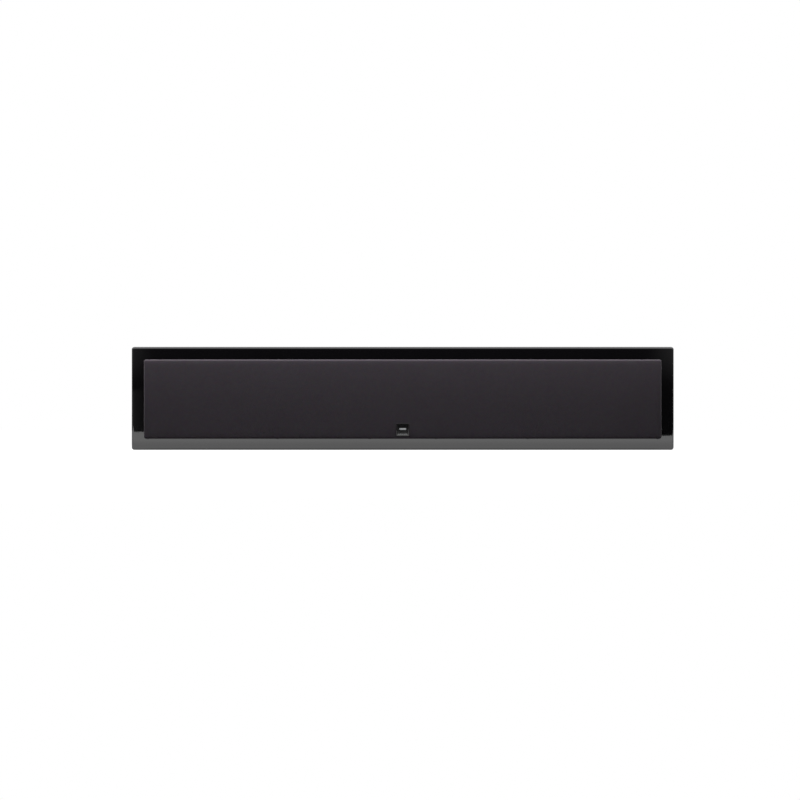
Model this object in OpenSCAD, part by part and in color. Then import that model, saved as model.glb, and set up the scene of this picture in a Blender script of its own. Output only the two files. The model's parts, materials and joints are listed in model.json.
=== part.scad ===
// On-wall speaker: a long, low cabinet with two woofers, two passive radiators and a tweeter behind a cloth grille.
// X runs along the cabinet, the front faces -Y, the wall plane is y = 0, and z = 0 is half way up the cabinet.

/* [Cabinet] */
// Width of the cabinet
cab_w = 920; // [900:1:1000]
// Height of the cabinet
cab_h = 175; // [172:1:200]
// Depth from the wall to the face of the front panel
cab_d = 72; // [70:1:90]
// Thickness of the front panel
front_t = 9; // [8:0.5:12]
// Thickness of the top, bottom and end walls
wall_t = 6; // [5:0.5:8]
// Radius of the rounded edge round the front
edge_r = 4; // [2:0.5:4]
// Radius of the cabinet's corners seen from the front
corner_r = 4.5; // [4.5:0.5:8]
// Thickness of the lip that surrounds the rear cover
lip_t = 2.2; // [1.6:0.2:3]
// Thickness of the ribs inside the front panel
rib_t = 3; // [2:0.5:4]
// How far these ribs stand into the cabinet
rib_h = 18; // [10:1:20]
// Radius of the screw bosses inside the cabinet
boss_r = 4.5; // [4:0.25:5]
// Distance from the walls to the axis of a cover screw
boss_inset = 6; // [5:0.5:7]
// Number of cover screws along the top and along the bottom
screw_cols = 6; // [4:2:8]

/* [Rear cover] */
// Thickness of the rear cover
cover_t = 4; // [3.5:0.5:5]
// Thickness of the foam gasket under the cover
gasket_t = 1; // [0.5:0.25:2]
// Height of the ribs inside the cover
cover_rib_h = 5; // [3:0.5:5.5]
// Thickness of the ribs inside the cover
cover_rib_t = 2; // [1.5:0.5:3]
// Length of a cover screw with its head
screw_len = 14; // [12:1:18]
// Radius of a cover screw's shank
screw_r = 1.25; // [1:0.05:1.5]
// Radius of its countersunk head
screw_head_r = 3; // [2.6:0.1:3.2]
// Depth of its countersunk head
screw_head_h = 1.4; // [1.2:0.1:1.5]

/* [Keyhole hangers] */
// Distance between the two hangers
key_pitch = 700; // [680:1:740]
// Height of the hangers above the middle of the cabinet
key_z = 34; // [20:1:40]
// Width of a hanger's steel plate
key_w = 26; // [24:1:30]
// Height of a hanger's steel plate
key_h = 62; // [60:1:70]
// Thickness of the steel plate
key_t = 1.5; // [1:0.25:2]
// Radius of the hole that a wall screw's head goes through
entry_r = 6; // [5:0.25:6.5]
// Width of the slot that the wall screw's shank slides up
slot_w = 6.2; // [5:0.2:7]
// Distance from the middle of the entry hole to the end of the slot
slot_len = 16; // [14:1:18]
// Clear depth behind the steel plate for the screw's head
pocket_d = 10; // [8:0.5:12]

/* [Terminal cup] */
// Clear width of the terminal cup
cup_w = 86; // [70:1:90]
// Clear height of the terminal cup
cup_h = 46; // [40:1:48]
// Depth of the terminal cup from the wall plane
cup_d = 28; // [26:1:30]
// Wall of the terminal cup
cup_wall = 2.2; // [1.6:0.2:3]
// How far below the cabinet's middle the cup's middle lies
cup_drop = 38; // [36:0.5:40]
// Flange of the cup beyond its end walls
cup_lug = 9; // [8.5:0.5:12]
// Flange of the cup beyond its top and bottom walls
cup_brim = 6; // [4:0.5:7]
// Thickness of the cup's flange
cup_flange_t = 2; // [1.5:0.25:2.5]
// Width of the cable channel below the cup
chan_w = 12; // [8:0.5:16]
// Depth of the cable channel
chan_d = 8; // [6:0.5:9]
// Wall of the cable channel
chan_wall = 2.5; // [2:0.25:3]

/* [Binding posts] */
// Distance between the two posts
post_pitch = 19; // [19:0.05:22]
// Height of the posts above the middle of the cup
post_rise = 9; // [6:0.5:12]
// Radius of a post's threaded stud
post_r = 3.2; // [3:0.05:3.5]
// Radius of the socket for a 4 mm plug
post_bore_r = 2; // [1.95:0.01:2.1]
// Depth of that socket
post_bore_d = 15.5; // [14:0.5:16]
// Distance from the wall plane to the post's end
post_tip = 6.5; // [5:0.5:8]
// Radius of the collar that seats on the cup's floor
collar_r = 6; // [5.5:0.1:6.5]
// Thickness of that collar
collar_t = 2.4; // [2:0.1:3]
// Radius of the hole for a bare wire
wire_hole_r = 1.2; // [0.8:0.05:1.25]
// Radius of the clamp washer
washer_r = 5.6; // [5:0.1:6.4]
// Thickness of the clamp washer
washer_t = 1; // [0.6:0.1:1.5]
// Radius of a post's cap
cap_r = 6.5; // [6:0.1:7.5]
// Length of a post's cap
cap_len = 15; // [12:0.5:16]
// Number of grip flutes round a cap
flutes = 14; // [8:1:18]
// Width across the nut's corners, halved
nut_r = 5.8; // [5:0.1:6.5]
// Thickness of the nut
nut_t = 3; // [2:0.5:4]

/* [Grille] */
// Width of the cabinet's front left bare at each end of the grille
grille_side = 22; // [15:1:30]
// Height of the grille
grille_h = 134.2; // [132:0.2:140]
// How far the grille stands in front of the cabinet
grille_d = 12; // [10:0.5:16]
// How far the grille's middle lies below the cabinet's middle
grille_drop = 1.3; // [0:0.1:2]
// Radius of the rounded edge round the grille's front
grille_edge_r = 3.2; // [2:0.1:3.4]
// Radius of the grille's corners seen from the front
grille_corner_r = 3.6; // [3.4:0.1:6]
// Width of the grille frame's outer bars
bar_w = 10; // [9:0.5:12]
// Width of its cross bars
cross_w = 8; // [6:0.5:10]
// Thickness of its cross bars
cross_t = 6; // [4:0.5:6]
// Thickness of the cloth
cloth_t = 0.6; // [0.4:0.1:0.9]
// Width of the cloth folded behind the frame
cloth_fold = 8; // [6:0.5:9]
// Radius of the grille's pegs
peg_r = 3; // [2.5:0.1:3.5]
// Length of a peg behind the grille frame
peg_len = 9; // [8:0.5:9]
// Radius of the rubber cup that holds a peg
socket_r = 5; // [4.5:0.1:5.5]
// Radius of the rubber cup's rim
socket_rim_r = 6.4; // [6:0.1:7]
// Thickness of the rubber cup's rim and floor
socket_t = 1; // [0.8:0.1:1.2]
// Width and height of the badge
badge_w = 21; // [16:0.5:24]
// Thickness of the badge
badge_t = 1.2; // [0.8:0.1:2]
// Distance from the grille's bottom edge to the badge
badge_up = 5; // [4:0.5:10]
// Radius of the pin behind the badge
badge_pin_r = 1.5; // [1:0.1:2]

/* [Woofers and radiators] */
// Distance of the woofers from the middle
woofer_x = 124; // [118:1:128]
// Distance of the passive radiators from the cabinet's ends
radiator_end = 160; // [150:1:165]
// Radius of a woofer's or radiator's frame
driver_r = 59; // [57:0.5:60]
// Thickness of the frame's flange, and depth of its seat in the front panel
flange_t = 4; // [3:0.25:4.5]
// Radius of the circle that a woofer's or radiator's screws stand on
driver_screw_pcd_r = 55.2; // [54.8:0.1:55.6]
// Outer radius of the surround's seat on the frame
seat_r = 52.3; // [51.5:0.1:52.5]
// Outer radius of the half-roll surround
roll_out_r = 47.5; // [46.5:0.1:48]
// Radius of the surround's half roll
roll_r = 4; // [3:0.1:4.2]
// Thickness of the rubber surround
roll_t = 0.7; // [0.5:0.05:1]
// Depth of the ledge that the surround seats on
ledge_d = 2; // [1.5:0.1:2.2]
// Thickness of a cone
cone_t = 0.9; // [0.5:0.1:1.2]
// Depth of the woofer's cone
cone_d = 16; // [14:0.5:17]
// Radius of the dust cap
dust_cap_r = 15; // [14.5:0.5:18]
// Height of the dust cap
dust_cap_h = 5; // [3:0.5:6]
// Outer radius of the voice coil's former
former_r = 12.7; // [12.5:0.1:13]
// Wall of the voice coil's former
former_t = 0.3; // [0.2:0.05:0.4]
// Thickness of the voice coil's winding
winding_t = 0.6; // [0.4:0.05:0.7]
// Height of the voice coil's winding
winding_h = 8; // [6:0.5:9]
// Length of the voice coil's former
former_len = 22; // [20:0.5:23]
// Depth of the spider's seat behind the flange
spider_d = 20; // [19.5:0.5:21]
// Outer radius of the spider
spider_r = 29.8; // [29:0.1:30]
// Thickness of the spider
spider_t = 0.5; // [0.4:0.05:0.7]
// How far the spider's collar lies behind its rim
spider_cup = 2.4; // [0:0.2:2.8]
// Number of half waves across the spider
waves = 6; // [4:2:8]
// Length of the straight part between the half waves
spider_leg = 1; // [0.6:0.1:1.2]
// Depth of the basket behind the flange
basket_d = 27; // [27:0.5:30]
// Wall of the basket
basket_t = 2.5; // [2:0.1:3]
// Number of windows in the basket
windows = 6; // [4:1:8]
// Radius of the magnet
magnet_r = 36; // [34:0.5:38]
// Height of the magnet
magnet_h = 12; // [9:0.5:14]
// Radius of the top plate
plate_r = 32; // [30:0.5:33]
// Thickness of the top plate and of the yoke's plate
plate_t = 4; // [3:0.5:5]
// Clearance between the coil and the iron on each side
coil_gap = 0.5; // [0.4:0.05:0.7]
// Radius of the vent through the yoke
vent_r = 4; // [3:0.5:6]
// Radius of the radiator's tuning weight
weight_r = 12; // [8:0.5:16]
// Thickness of the tuning weight
weight_t = 5; // [3:0.5:8]
// Thickness of the radiator's flat cone
flat_cone_t = 2.4; // [1.6:0.2:3]

/* [Tweeter] */
// Radius of the tweeter's faceplate
tweeter_r = 47; // [46:0.5:48]
// Radius of the circle that the tweeter's screws stand on
tweeter_screw_pcd_r = 42.5; // [41.5:0.5:43]
// Radius of the flared mouth
mouth_r = 36; // [30:0.5:38]
// Radius of the flare's throat
throat_r = 16; // [15.8:0.1:17]
// Depth of the flare
flare_d = 2.6; // [2:0.1:3]
// Radius of the dome
dome_r = 12.5; // [12.3:0.1:12.7]
// Height of the dome
dome_h = 5; // [3:0.5:5.5]
// Thickness of the dome
dome_t = 0.4; // [0.3:0.05:0.5]
// Thickness of the tweeter's magnet
disc_h = 5; // [4:0.5:6]
// Thickness of the tweeter's pole plate
pole_h = 3; // [2:0.5:3.5]
// Wall of the tweeter's yoke
yoke_wall = 5; // [4:0.5:5.5]
// Wall of the collar that holds the yoke
yoke_collar_t = 2; // [1.5:0.1:3]

/* [Driver screws] */
// Length of a driver screw's shank
pan_len = 14; // [12:0.5:16]
// Radius of its shank
pan_r = 1.6; // [1.4:0.05:1.8]
// Radius of its head
pan_head_r = 3.4; // [3:0.1:3.6]
// Height of its head
pan_head_h = 2; // [1.6:0.1:2.4]

/* [Crossover] */
// Width of the crossover board
board_w = 110; // [104:1:116]
// Height of the crossover board
board_h = 80; // [76:1:90]
// Thickness of the board
board_t = 1.6; // [1:0.1:2]
// Distance of the board's middle from the cabinet's middle
board_x = 245; // [240:1:250]
// Height of the posts under the board
standoff_h = 6; // [6:0.5:8]
// Radius of a coil
choke_r = 16; // [12:0.5:17]
// Height of a coil
choke_h = 14; // [10:0.5:18]
// Radius of a capacitor
cap_body_r = 6.5; // [5:0.25:7]
// Length of a capacitor
cap_body_len = 30; // [24:1:32]
// Length of a cement resistor
resistor_len = 22; // [18:1:24]
// Width and height of a cement resistor
resistor_w = 9; // [7:0.5:10]
// Radius of a wire pair inside the cabinet
wire_r = 1.5; // [1:0.1:1.8]

/* [Damping] */
// Width of a damping pad
pad_w = 68; // [50:1:72]
// Height of a damping pad
pad_h = 130; // [100:1:134]
// Thickness of a damping pad
pad_t = 42; // [30:1:44]

/* [Hidden] */
$fn = 64;

lacquer = "#0c0b0d";
moulding = "#1b1b1d";
cloth_tone = "#3a363b";
steel = "#b9bcc0";
iron = "#85888c";
ferrite = "#2b2b2e";
rubber = "#1a1a1b";
pulp = "#26272a";
copper = "#b06a3b";
spider_tone = "#c28a3e";
gold = "#d2a64b";

// Clearance between a loose piece and the opening that it drops into
gap = 0.3;
// Clearance between a turned piece and the hole that it slides in
fit = 0.05;
// Overlap that makes a cut run out past a face
over = 1;
// Clearance between the cloth and the rounded edges of its frame
cloth_gap = 0.1;
// Radius of the inside corners of the cabinet, the cup and the pockets
inner_r = 3;
// Radius of the corners of the grille frame's windows
window_r = 6;
// Wall of the tweeter coil's former, thickness of its winding and of the tweeter yoke's floor
former2_t = 0.3;
winding2_t = 0.4;
yoke_floor = 3;

front_in = cab_d - front_t;
seat_u = cab_d - flange_t;
in_w = cab_w - 2 * wall_t;
in_h = cab_h - 2 * wall_t;
lip_w = cab_w - 2 * lip_t;
lip_h = cab_h - 2 * lip_t;
lip_r = corner_r - lip_t;
cover_w = lip_w - 2 * gap;
cover_h = lip_h - 2 * gap;
boss_x = in_w / 2 - boss_inset;
boss_z = in_h / 2 - boss_inset;
boss_step = 2 * boss_x / (screw_cols - 1);
cover_points = [for (i = [0:screw_cols - 1], s = [-1, 1]) [i * boss_step - boss_x, s * boss_z]];

key_points = [for (s = [-1, 1]) [s * key_pitch / 2, key_z]];
pocket_w = 2 * entry_r + 4;
pocket_h = slot_len + 2 * entry_r + 4;
pocket_wall = 2;
key_screw_z = (key_h / 2 + pocket_h / 2 + pocket_wall) / 2;
key_screw_points = [for (p = key_points, s = [-1, 1]) [p[0], p[1] + s * key_screw_z]];

cup_z = -cup_drop;
cup_out_w = cup_w + 2 * cup_wall;
cup_out_h = cup_h + 2 * cup_wall;
cup_screw_x = cup_out_w / 2 + cup_lug / 2;
cup_screw_z = cup_out_h / 2 - boss_r;
cup_screw_points = [for (sx = [-1, 1], sz = [-1, 1]) [sx * cup_screw_x, cup_z + sz * cup_screw_z]];
trough_w = chan_w + 2 * chan_wall;
trough_d = chan_d + chan_wall;
rear_screw_points = concat(cover_points, key_screw_points, cup_screw_points);

post_z = cup_z + post_rise;
collar_u = cup_d - collar_t;
washer_u = collar_u - washer_t;
cap_u = washer_u - cap_len;
nut_u = cup_d + cup_wall;
post_end_u = nut_u + nut_t + 4;

grille_w = cab_w - 2 * grille_side;
radiator_x = cab_w / 2 - radiator_end;
bar_1 = (tweeter_r + woofer_x - driver_r) / 2;
bar_2 = (woofer_x + radiator_x) / 2;
grille_in_w = grille_w - 2 * (cloth_t + cloth_gap) - 2 * bar_w;
grille_in_h = grille_h - 2 * (cloth_t + cloth_gap) - 2 * bar_w;
bar_3 = (radiator_x + driver_r + grille_in_w / 2) / 2;
cross_xs = [-bar_3, -bar_2, -bar_1, bar_1, bar_2, bar_3];
rib_end = radiator_x + driver_r + 2 * boss_inset;
rib_xs = [-rib_end, -bar_2, -bar_1, bar_1, bar_2, rib_end];
peg_x = grille_in_w / 2 + bar_w / 2;
peg_z = grille_in_h / 2 + bar_w / 2;
peg_points = [for (x = [-peg_x, -bar_2, -bar_1, bar_1, bar_2, peg_x], s = [-1, 1]) [x, s * peg_z - grille_drop]];
socket_d = peg_len + cloth_t + socket_t;
badge_z = badge_up + badge_w / 2 - grille_h / 2 - grille_drop;

roll_mid = roll_out_r - roll_r;
roll_in_r = roll_out_r - 2 * roll_r;
roll_u = ledge_d + roll_t - 0.3;
cone_r = roll_in_r + 1;
land_w = 3;
land_u = -0.8;
basket_hole_r = roll_out_r - 1.5;
cone_slope = (cone_d - 0.2) / (cone_r - land_w + 0.7 - former_r);
neck_u = land_u - cone_d;
top_plate_u = -basket_d - plate_t;
magnet_u = top_plate_u - magnet_h;
yoke_u = magnet_u - plate_t;
pole_r = former_r - former_t - coil_gap;
gap_r = former_r + winding_t + coil_gap;
driver_xs = [-radiator_x, -woofer_x, woofer_x, radiator_x];
driver_screw_points = concat(
    [for (x = driver_xs, a = [45:90:315]) [x + driver_screw_pcd_r * cos(a), driver_screw_pcd_r * sin(a)]],
    [for (a = [45:90:315]) [tweeter_screw_pcd_r * cos(a), tweeter_screw_pcd_r * sin(a)]]);

former2_r = dome_r + dome_t / 2;
pole2_r = former2_r - former2_t - coil_gap;
yoke_in_r = former2_r + winding2_t + coil_gap;
yoke_r = yoke_in_r + yoke_wall;
pole2_u = 3;

// Puts a shape at x and z with its own z axis pointing forwards, u in front of the wall plane
module place(x, u, z = 0) translate([x, -u, z]) rotate([90, 0, 0]) children();

// Flat plate with round corners
module plate(w, h, t, r) {
    linear_extrude(t) {
        square([w - 2 * r, h], center = true);
        square([w, h - 2 * r], center = true);
        for (sx = [-1, 1], sy = [-1, 1]) translate([sx * (w / 2 - r), sy * (h / 2 - r)]) circle(r);
    }
}

// Section from a corner's axis out to the side, with the front edge rounded
module rim_section(reach, depth, edge) {
    square([reach, depth - edge]);
    square([reach - edge, depth]);
    translate([reach - edge, depth - edge]) intersection() {
        circle(edge);
        square(edge);
    }
}

// Block with round corners and a rounded edge all round its front
module soft_block(w, h, depth, corner, edge) {
    hw = w / 2 - corner;
    hh = h / 2 - corner;
    translate([-hw, -hh, 0]) cube([2 * hw, 2 * hh, depth]);
    for (s = [0, 1]) {
        rotate(180 * s) translate([hw, 0, 0]) rotate([90, 0, 0])
            linear_extrude(2 * hh, center = true) rim_section(corner, depth, edge);
        rotate(90 + 180 * s) translate([hh, 0, 0]) rotate([90, 0, 0])
            linear_extrude(2 * hw, center = true) rim_section(corner, depth, edge);
    }
    for (turn = [0:3]) {
        sx = turn == 0 || turn == 3 ? 1 : -1;
        sy = turn < 2 ? 1 : -1;
        translate([sx * hw, sy * hh, 0]) rotate(90 * turn) rotate_extrude(angle = 90)
            rim_section(corner, depth, edge);
    }
}

// Hole for a countersunk screw, open towards the wall
module screw_hole(h) {
    translate([0, 0, -over]) cylinder(h = h + 2 * over, r = screw_r + 2 * fit);
    cylinder(h = screw_head_h, r1 = screw_head_r + fit, r2 = screw_r + fit);
    translate([0, 0, -over]) cylinder(h = over, r = screw_head_r + fit);
}

// Cabinet
module cabinet_shell() {
    color(lacquer) difference() {
        union() {
            difference() {
                place(0, 0) soft_block(cab_w, cab_h, cab_d, corner_r, edge_r);
                place(0, -over) plate(in_w, in_h, front_in + over, inner_r);
                place(0, -over) plate(lip_w, lip_h, cover_t + gasket_t + over, lip_r);
            }
            for (x = rib_xs) place(x, front_in - rib_h)
                translate([-rib_t / 2, -in_h / 2 - over, 0]) cube([rib_t, in_h + 2 * over, rib_h + over]);
            for (p = cover_points) cover_boss(p);
            for (p = driver_screw_points) place(p[0], cab_d - pan_len - 2, p[1])
                cylinder(h = front_in + over - cab_d + pan_len + 2, r = boss_r - 0.5);
            for (p = peg_points) place(p[0], cab_d - socket_d - 2, p[1])
                cylinder(h = front_in + over - cab_d + socket_d + 2, r = socket_r + 2.5);
        }
        for (x = driver_xs) {
            place(x, front_in - over) cylinder(h = front_t + 2 * over, r = basket_hole_r + 4);
            place(x, seat_u) cylinder(h = flange_t + over, r = driver_r + 0.2);
        }
        place(0, front_in - over) cylinder(h = front_t + 2 * over, r = mouth_r);
        place(0, seat_u) cylinder(h = flange_t + over, r = tweeter_r + 0.2);
        for (p = driver_screw_points) place(p[0], cab_d - pan_len - 1, p[1])
            cylinder(h = pan_len + 1, r = pan_r + fit);
        for (p = cover_points) place(p[0], cover_t - over, p[1])
            cylinder(h = screw_len, r = screw_r + fit);
        for (p = peg_points) {
            place(p[0], cab_d - socket_d, p[1]) cylinder(h = socket_d + over, r = socket_r);
            place(p[0], cab_d - socket_t, p[1]) cylinder(h = socket_t + over, r = socket_rim_r);
        }
        channel_notch(-over);
    }
}

module cover_boss(p) {
    side = p[1] > 0 ? 1 : -1;
    web_u = cover_t + gasket_t + over;
    place(p[0], cover_t, p[1]) cylinder(h = front_in + over - cover_t, r = boss_r);
    place(p[0], web_u, p[1]) translate([-rib_t / 2, side > 0 ? 0 : -boss_inset - over, 0])
        cube([rib_t, boss_inset + over, front_in + over - web_u]);
}

// Space in the bottom wall that the cover's cable trough passes through
module channel_notch(from_u) {
    place(0, from_u, -cab_h / 2) translate([-trough_w / 2 - gap, -over, 0])
        cube([trough_w + 2 * gap, cab_h / 8 + over, trough_d + gap - from_u]);
}

// Rear cover with its hanger pockets, cup opening and cable trough
module rear_cover() {
    color(moulding) difference() {
        union() {
            place(0, 0) plate(cover_w, cover_h, cover_t, lip_r - gap);
            for (s = [-1, 1]) place(0, cover_t - over, s * (boss_z - 2 * boss_r - cover_rib_t))
                translate([-boss_x, -cover_rib_t / 2, 0]) cube([2 * boss_x, cover_rib_t, cover_rib_h + over]);
            for (x = rib_xs) place(x, cover_t - over)
                translate([-cover_rib_t / 2, -boss_z + boss_r, 0])
                    cube([cover_rib_t, 2 * (boss_z - boss_r), cover_rib_h + over]);
            for (p = key_points) place(p[0], cover_t - over, p[1])
                plate(pocket_w + 2 * pocket_wall, pocket_h + 2 * pocket_wall,
                    key_t + pocket_d + pocket_wall - cover_t + over, inner_r + pocket_wall);
            for (p = concat(key_screw_points, cup_screw_points)) place(p[0], cover_t - over, p[1])
                cylinder(h = screw_len + over - cover_t + over, r = boss_r - 0.5);
            for (p = board_points()) place(p[0], cover_t - over, p[1]) {
                cylinder(h = standoff_h + over, r = boss_r);
                cylinder(h = standoff_h + over + board_t + 1.5, r = 1.5);
            }
            place(0, 0, -cab_h / 2) translate([-trough_w / 2, gap, 0])
                cube([trough_w, cab_h / 2 + cup_z - cup_out_h / 2, trough_d]);
        }
        for (p = cover_points) place(p[0], 0, p[1]) screw_hole(cover_t);
        for (p = concat(key_screw_points, cup_screw_points)) place(p[0], 0, p[1])
            cylinder(h = screw_len + fit, r = screw_r + fit);
        for (p = key_points) {
            place(p[0], -over, p[1]) plate(key_w + gap, key_h + gap, key_t + over, inner_r);
            place(p[0], 0, p[1]) plate(pocket_w, pocket_h, key_t + pocket_d, inner_r);
        }
        place(0, -over, cup_z)
            plate(cup_out_w + 2 * cup_lug + gap, cup_out_h + 2 * cup_brim + gap, cup_flange_t + over, inner_r);
        place(0, -over, cup_z) plate(cup_out_w + gap, cup_out_h + gap, cover_t + cover_rib_h + 3 * over, inner_r);
        cable_channel();
    }
}

// Channel from the cup down to the cabinet's bottom edge
module cable_channel() {
    place(0, -over, -cab_h / 2) translate([-chan_w / 2, -over, 0])
        cube([chan_w, cab_h / 2 + cup_z - cup_h / 2 + 2 * over, chan_d + over]);
}

module cover_gasket() {
    color(rubber) difference() {
        place(0, cover_t) plate(cover_w, cover_h, gasket_t, lip_r - gap);
        place(0, cover_t - over) plate(in_w, in_h, gasket_t + 2 * over, inner_r);
        channel_notch(cover_t - over);
    }
}

module rear_screws() {
    color(steel) for (p = rear_screw_points) place(p[0], 0, p[1]) difference() {
        union() {
            cylinder(h = screw_head_h, r1 = screw_head_r, r2 = screw_r);
            cylinder(h = screw_len, r = screw_r);
        }
        cross_recess(screw_head_r);
    }
}

// Cross-shaped recess in a screw's head
module cross_recess(r) {
    for (a = [0, 90]) rotate(a) cube([r, r / 5, 2 * 0.8], center = true);
}

// Steel hanger: the slot runs up from the entry hole
module keyhole_plate(p) {
    color(steel) difference() {
        place(p[0], 0, p[1]) plate(key_w, key_h, key_t, inner_r - gap / 2);
        place(p[0], -over, p[1] - slot_len / 2) cylinder(h = key_t + 2 * over, r = entry_r);
        place(p[0], -over, p[1] + slot_len / 2) cylinder(h = key_t + 2 * over, r = slot_w / 2);
        place(p[0], -over, p[1]) translate([-slot_w / 2, -slot_len / 2, 0])
            cube([slot_w, slot_len, key_t + 2 * over]);
        for (s = [-1, 1]) place(p[0], 0, p[1] + s * key_screw_z) screw_hole(key_t);
    }
}

// Wadding at the ends of the cabinet
module damping_pad(side) {
    color("#8d8f92") place(side * (in_w / 2 - pad_w / 2), cab_d - socket_d - socket_t * 2 - pad_t)
        plate(pad_w, pad_h, pad_t, 2 * inner_r);
}

// Grille
module grille_frame() {
    depth = grille_d - 2 * cloth_t - cloth_gap;
    back = cab_d + cloth_t;
    badge_pad_top = badge_z + badge_w / 2 + 2;
    bar_z = -grille_in_h / 2 - grille_drop;
    color(moulding) difference() {
        union() {
            difference() {
                place(0, back, -grille_drop)
                    soft_block(grille_w - 2 * (cloth_t + cloth_gap), grille_h - 2 * (cloth_t + cloth_gap), depth,
                        grille_corner_r - cloth_t - cloth_gap, grille_edge_r - cloth_t - cloth_gap);
                place(0, back - over, -grille_drop) plate(grille_in_w, grille_in_h, depth + 2 * over, window_r);
            }
            for (x = cross_xs) place(x, back + depth - cross_t, -grille_drop)
                translate([-cross_w / 2, -grille_in_h / 2 - over, 0])
                    cube([cross_w, grille_in_h + 2 * over, cross_t]);
            for (p = peg_points) place(p[0], back - peg_len, p[1]) peg();
            place(0, back + depth - 3, bar_z - over) translate([-badge_w / 2 - 2, 0, 0])
                cube([badge_w + 4, badge_pad_top - bar_z + over, 3]);
        }
        place(0, back + depth - 4, badge_z) cylinder(h = 4 + over, r = badge_pin_r + fit);
    }
}

// Peg with a bevelled tip, its root sunk into the frame
module peg() {
    cylinder(h = 1, r1 = peg_r - 1, r2 = peg_r);
    translate([0, 0, 1]) cylinder(h = peg_len, r = peg_r);
}

module grille_cloth() {
    color(cloth_tone) difference() {
        place(0, cab_d, -grille_drop) soft_block(grille_w, grille_h, grille_d, grille_corner_r, grille_edge_r);
        place(0, cab_d + cloth_t, -grille_drop)
            soft_block(grille_w - 2 * cloth_t, grille_h - 2 * cloth_t, grille_d - 2 * cloth_t,
                grille_corner_r - cloth_t, grille_edge_r - cloth_t);
        place(0, cab_d - over, -grille_drop)
            plate(grille_w - 2 * cloth_fold, grille_h - 2 * cloth_fold, cloth_t + 2 * over, window_r);
        for (p = peg_points) place(p[0], cab_d - over, p[1]) cylinder(h = cloth_t + 2 * over, r = peg_r + gap);
        place(0, cab_d + grille_d - cloth_t - over, badge_z) cylinder(h = cloth_t + 2 * over, r = badge_pin_r + gap);
    }
}

// Badge with a bevelled front and a pin behind
module grille_badge() {
    bevel = badge_t / 3;
    color("#101012") {
        place(0, cab_d + grille_d, badge_z) plate(badge_w, badge_w, badge_t - bevel, 1);
        place(0, cab_d + grille_d + badge_t - bevel - 0.01, badge_z)
            plate(badge_w - 2 * bevel, badge_w - 2 * bevel, bevel + 0.01, 1 - bevel);
        place(0, cab_d + grille_d - 3.5, badge_z) cylinder(h = 4, r = badge_pin_r);
    }
}

module grille_cups() {
    color(rubber) for (p = peg_points) place(p[0], cab_d - socket_d, p[1]) difference() {
        union() {
            cylinder(h = socket_d, r = socket_r);
            translate([0, 0, socket_d - socket_t]) cylinder(h = socket_t, r = socket_rim_r);
        }
        translate([0, 0, socket_t]) cylinder(h = socket_d, r = peg_r + fit);
    }
}

// Frame flange that woofers and radiators share, with the ledge for the surround
module flange_section() {
    polygon([[basket_hole_r, ledge_d], [basket_hole_r, -over], [basket_hole_r + basket_t, -over],
        [basket_hole_r + basket_t, 0], [driver_r, 0], [driver_r, flange_t - 0.5], [driver_r - 0.5, flange_t],
        [seat_r, flange_t], [seat_r, ledge_d]]);
}

module frame_screw_holes(circle_r) {
    for (a = [45:90:315]) rotate(a) translate([circle_r, 0, -over])
        cylinder(h = flange_t + 2 * over, r = pan_r + gap);
}

module woofer_basket(side) {
    slope_out_r = plate_r + 1;
    slope_in_r = slope_out_r - basket_t;
    shelf_r = spider_r - 3.8;
    window_span = 360 / windows * 0.7;
    color(moulding) place(side * woofer_x, seat_u) difference() {
        union() {
            rotate_extrude() {
                flange_section();
                polygon([[basket_hole_r, -over], [slope_in_r, 2.5 - spider_d], [slope_in_r, -spider_d],
                    [shelf_r, -spider_d], [shelf_r, -spider_d - 2], [slope_in_r - 0.5, -spider_d - 2],
                    [slope_in_r - 0.5, 2.5 - basket_d], [gap_r + 6, 2.5 - basket_d], [gap_r + 6, -basket_d],
                    [slope_out_r, -basket_d], [slope_out_r, -spider_d],
                    [basket_hole_r + basket_t, -over - 2], [basket_hole_r + basket_t, -over]]);
            }
            translate([-7, slope_out_r - over, -basket_d]) cube([14, 8, 2]);
        }
        frame_screw_holes(driver_screw_pcd_r);
        for (i = [0:windows - 1]) rotate(i * 360 / windows - window_span / 2) rotate_extrude(angle = window_span)
            translate([shelf_r, 3 - spider_d]) square([driver_r - shelf_r, spider_d - 3 - 4]);
    }
}

module trim_ring(side) {
    color(rubber) place(side * woofer_x, seat_u) rotate_extrude()
        polygon([[roll_out_r + 0.1, ledge_d + roll_t], [seat_r - 0.1, ledge_d + roll_t], [seat_r - 0.1, flange_t],
            [roll_out_r + 0.8, flange_t], [roll_out_r + 0.1, flange_t - 0.5]]);
}

// Half-roll surround, with its inner lip on the cone's land and its outer flange on the frame's ledge
module surround(x) {
    color(rubber) place(x, seat_u) rotate_extrude() {
        difference() {
            translate([roll_mid, roll_u]) circle(roll_r);
            translate([roll_mid, roll_u]) circle(roll_r - roll_t);
            translate([roll_in_r - over, roll_u - roll_r - over]) square([2 * roll_r + 2 * over, roll_r + over]);
        }
        translate([roll_in_r, land_u]) square([roll_t, roll_u - land_u]);
        translate([roll_in_r - land_w + 1, land_u]) square([land_w - 1 + roll_t, roll_t]);
        translate([roll_out_r - roll_t, ledge_d]) square([seat_r - 0.1 - roll_out_r + roll_t, roll_t]);
    }
}

module woofer_cone(side) {
    color(pulp) place(side * woofer_x, seat_u) rotate_extrude()
        polygon([[cone_r, land_u], [cone_r, land_u - cone_t], [cone_r - land_w + 0.7, land_u - cone_t],
            [former_r, neck_u - cone_t], [former_r, neck_u], [cone_r - land_w + 0.7, land_u - 0.2],
            [cone_r - land_w + 0.7, land_u]]);
}

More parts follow.
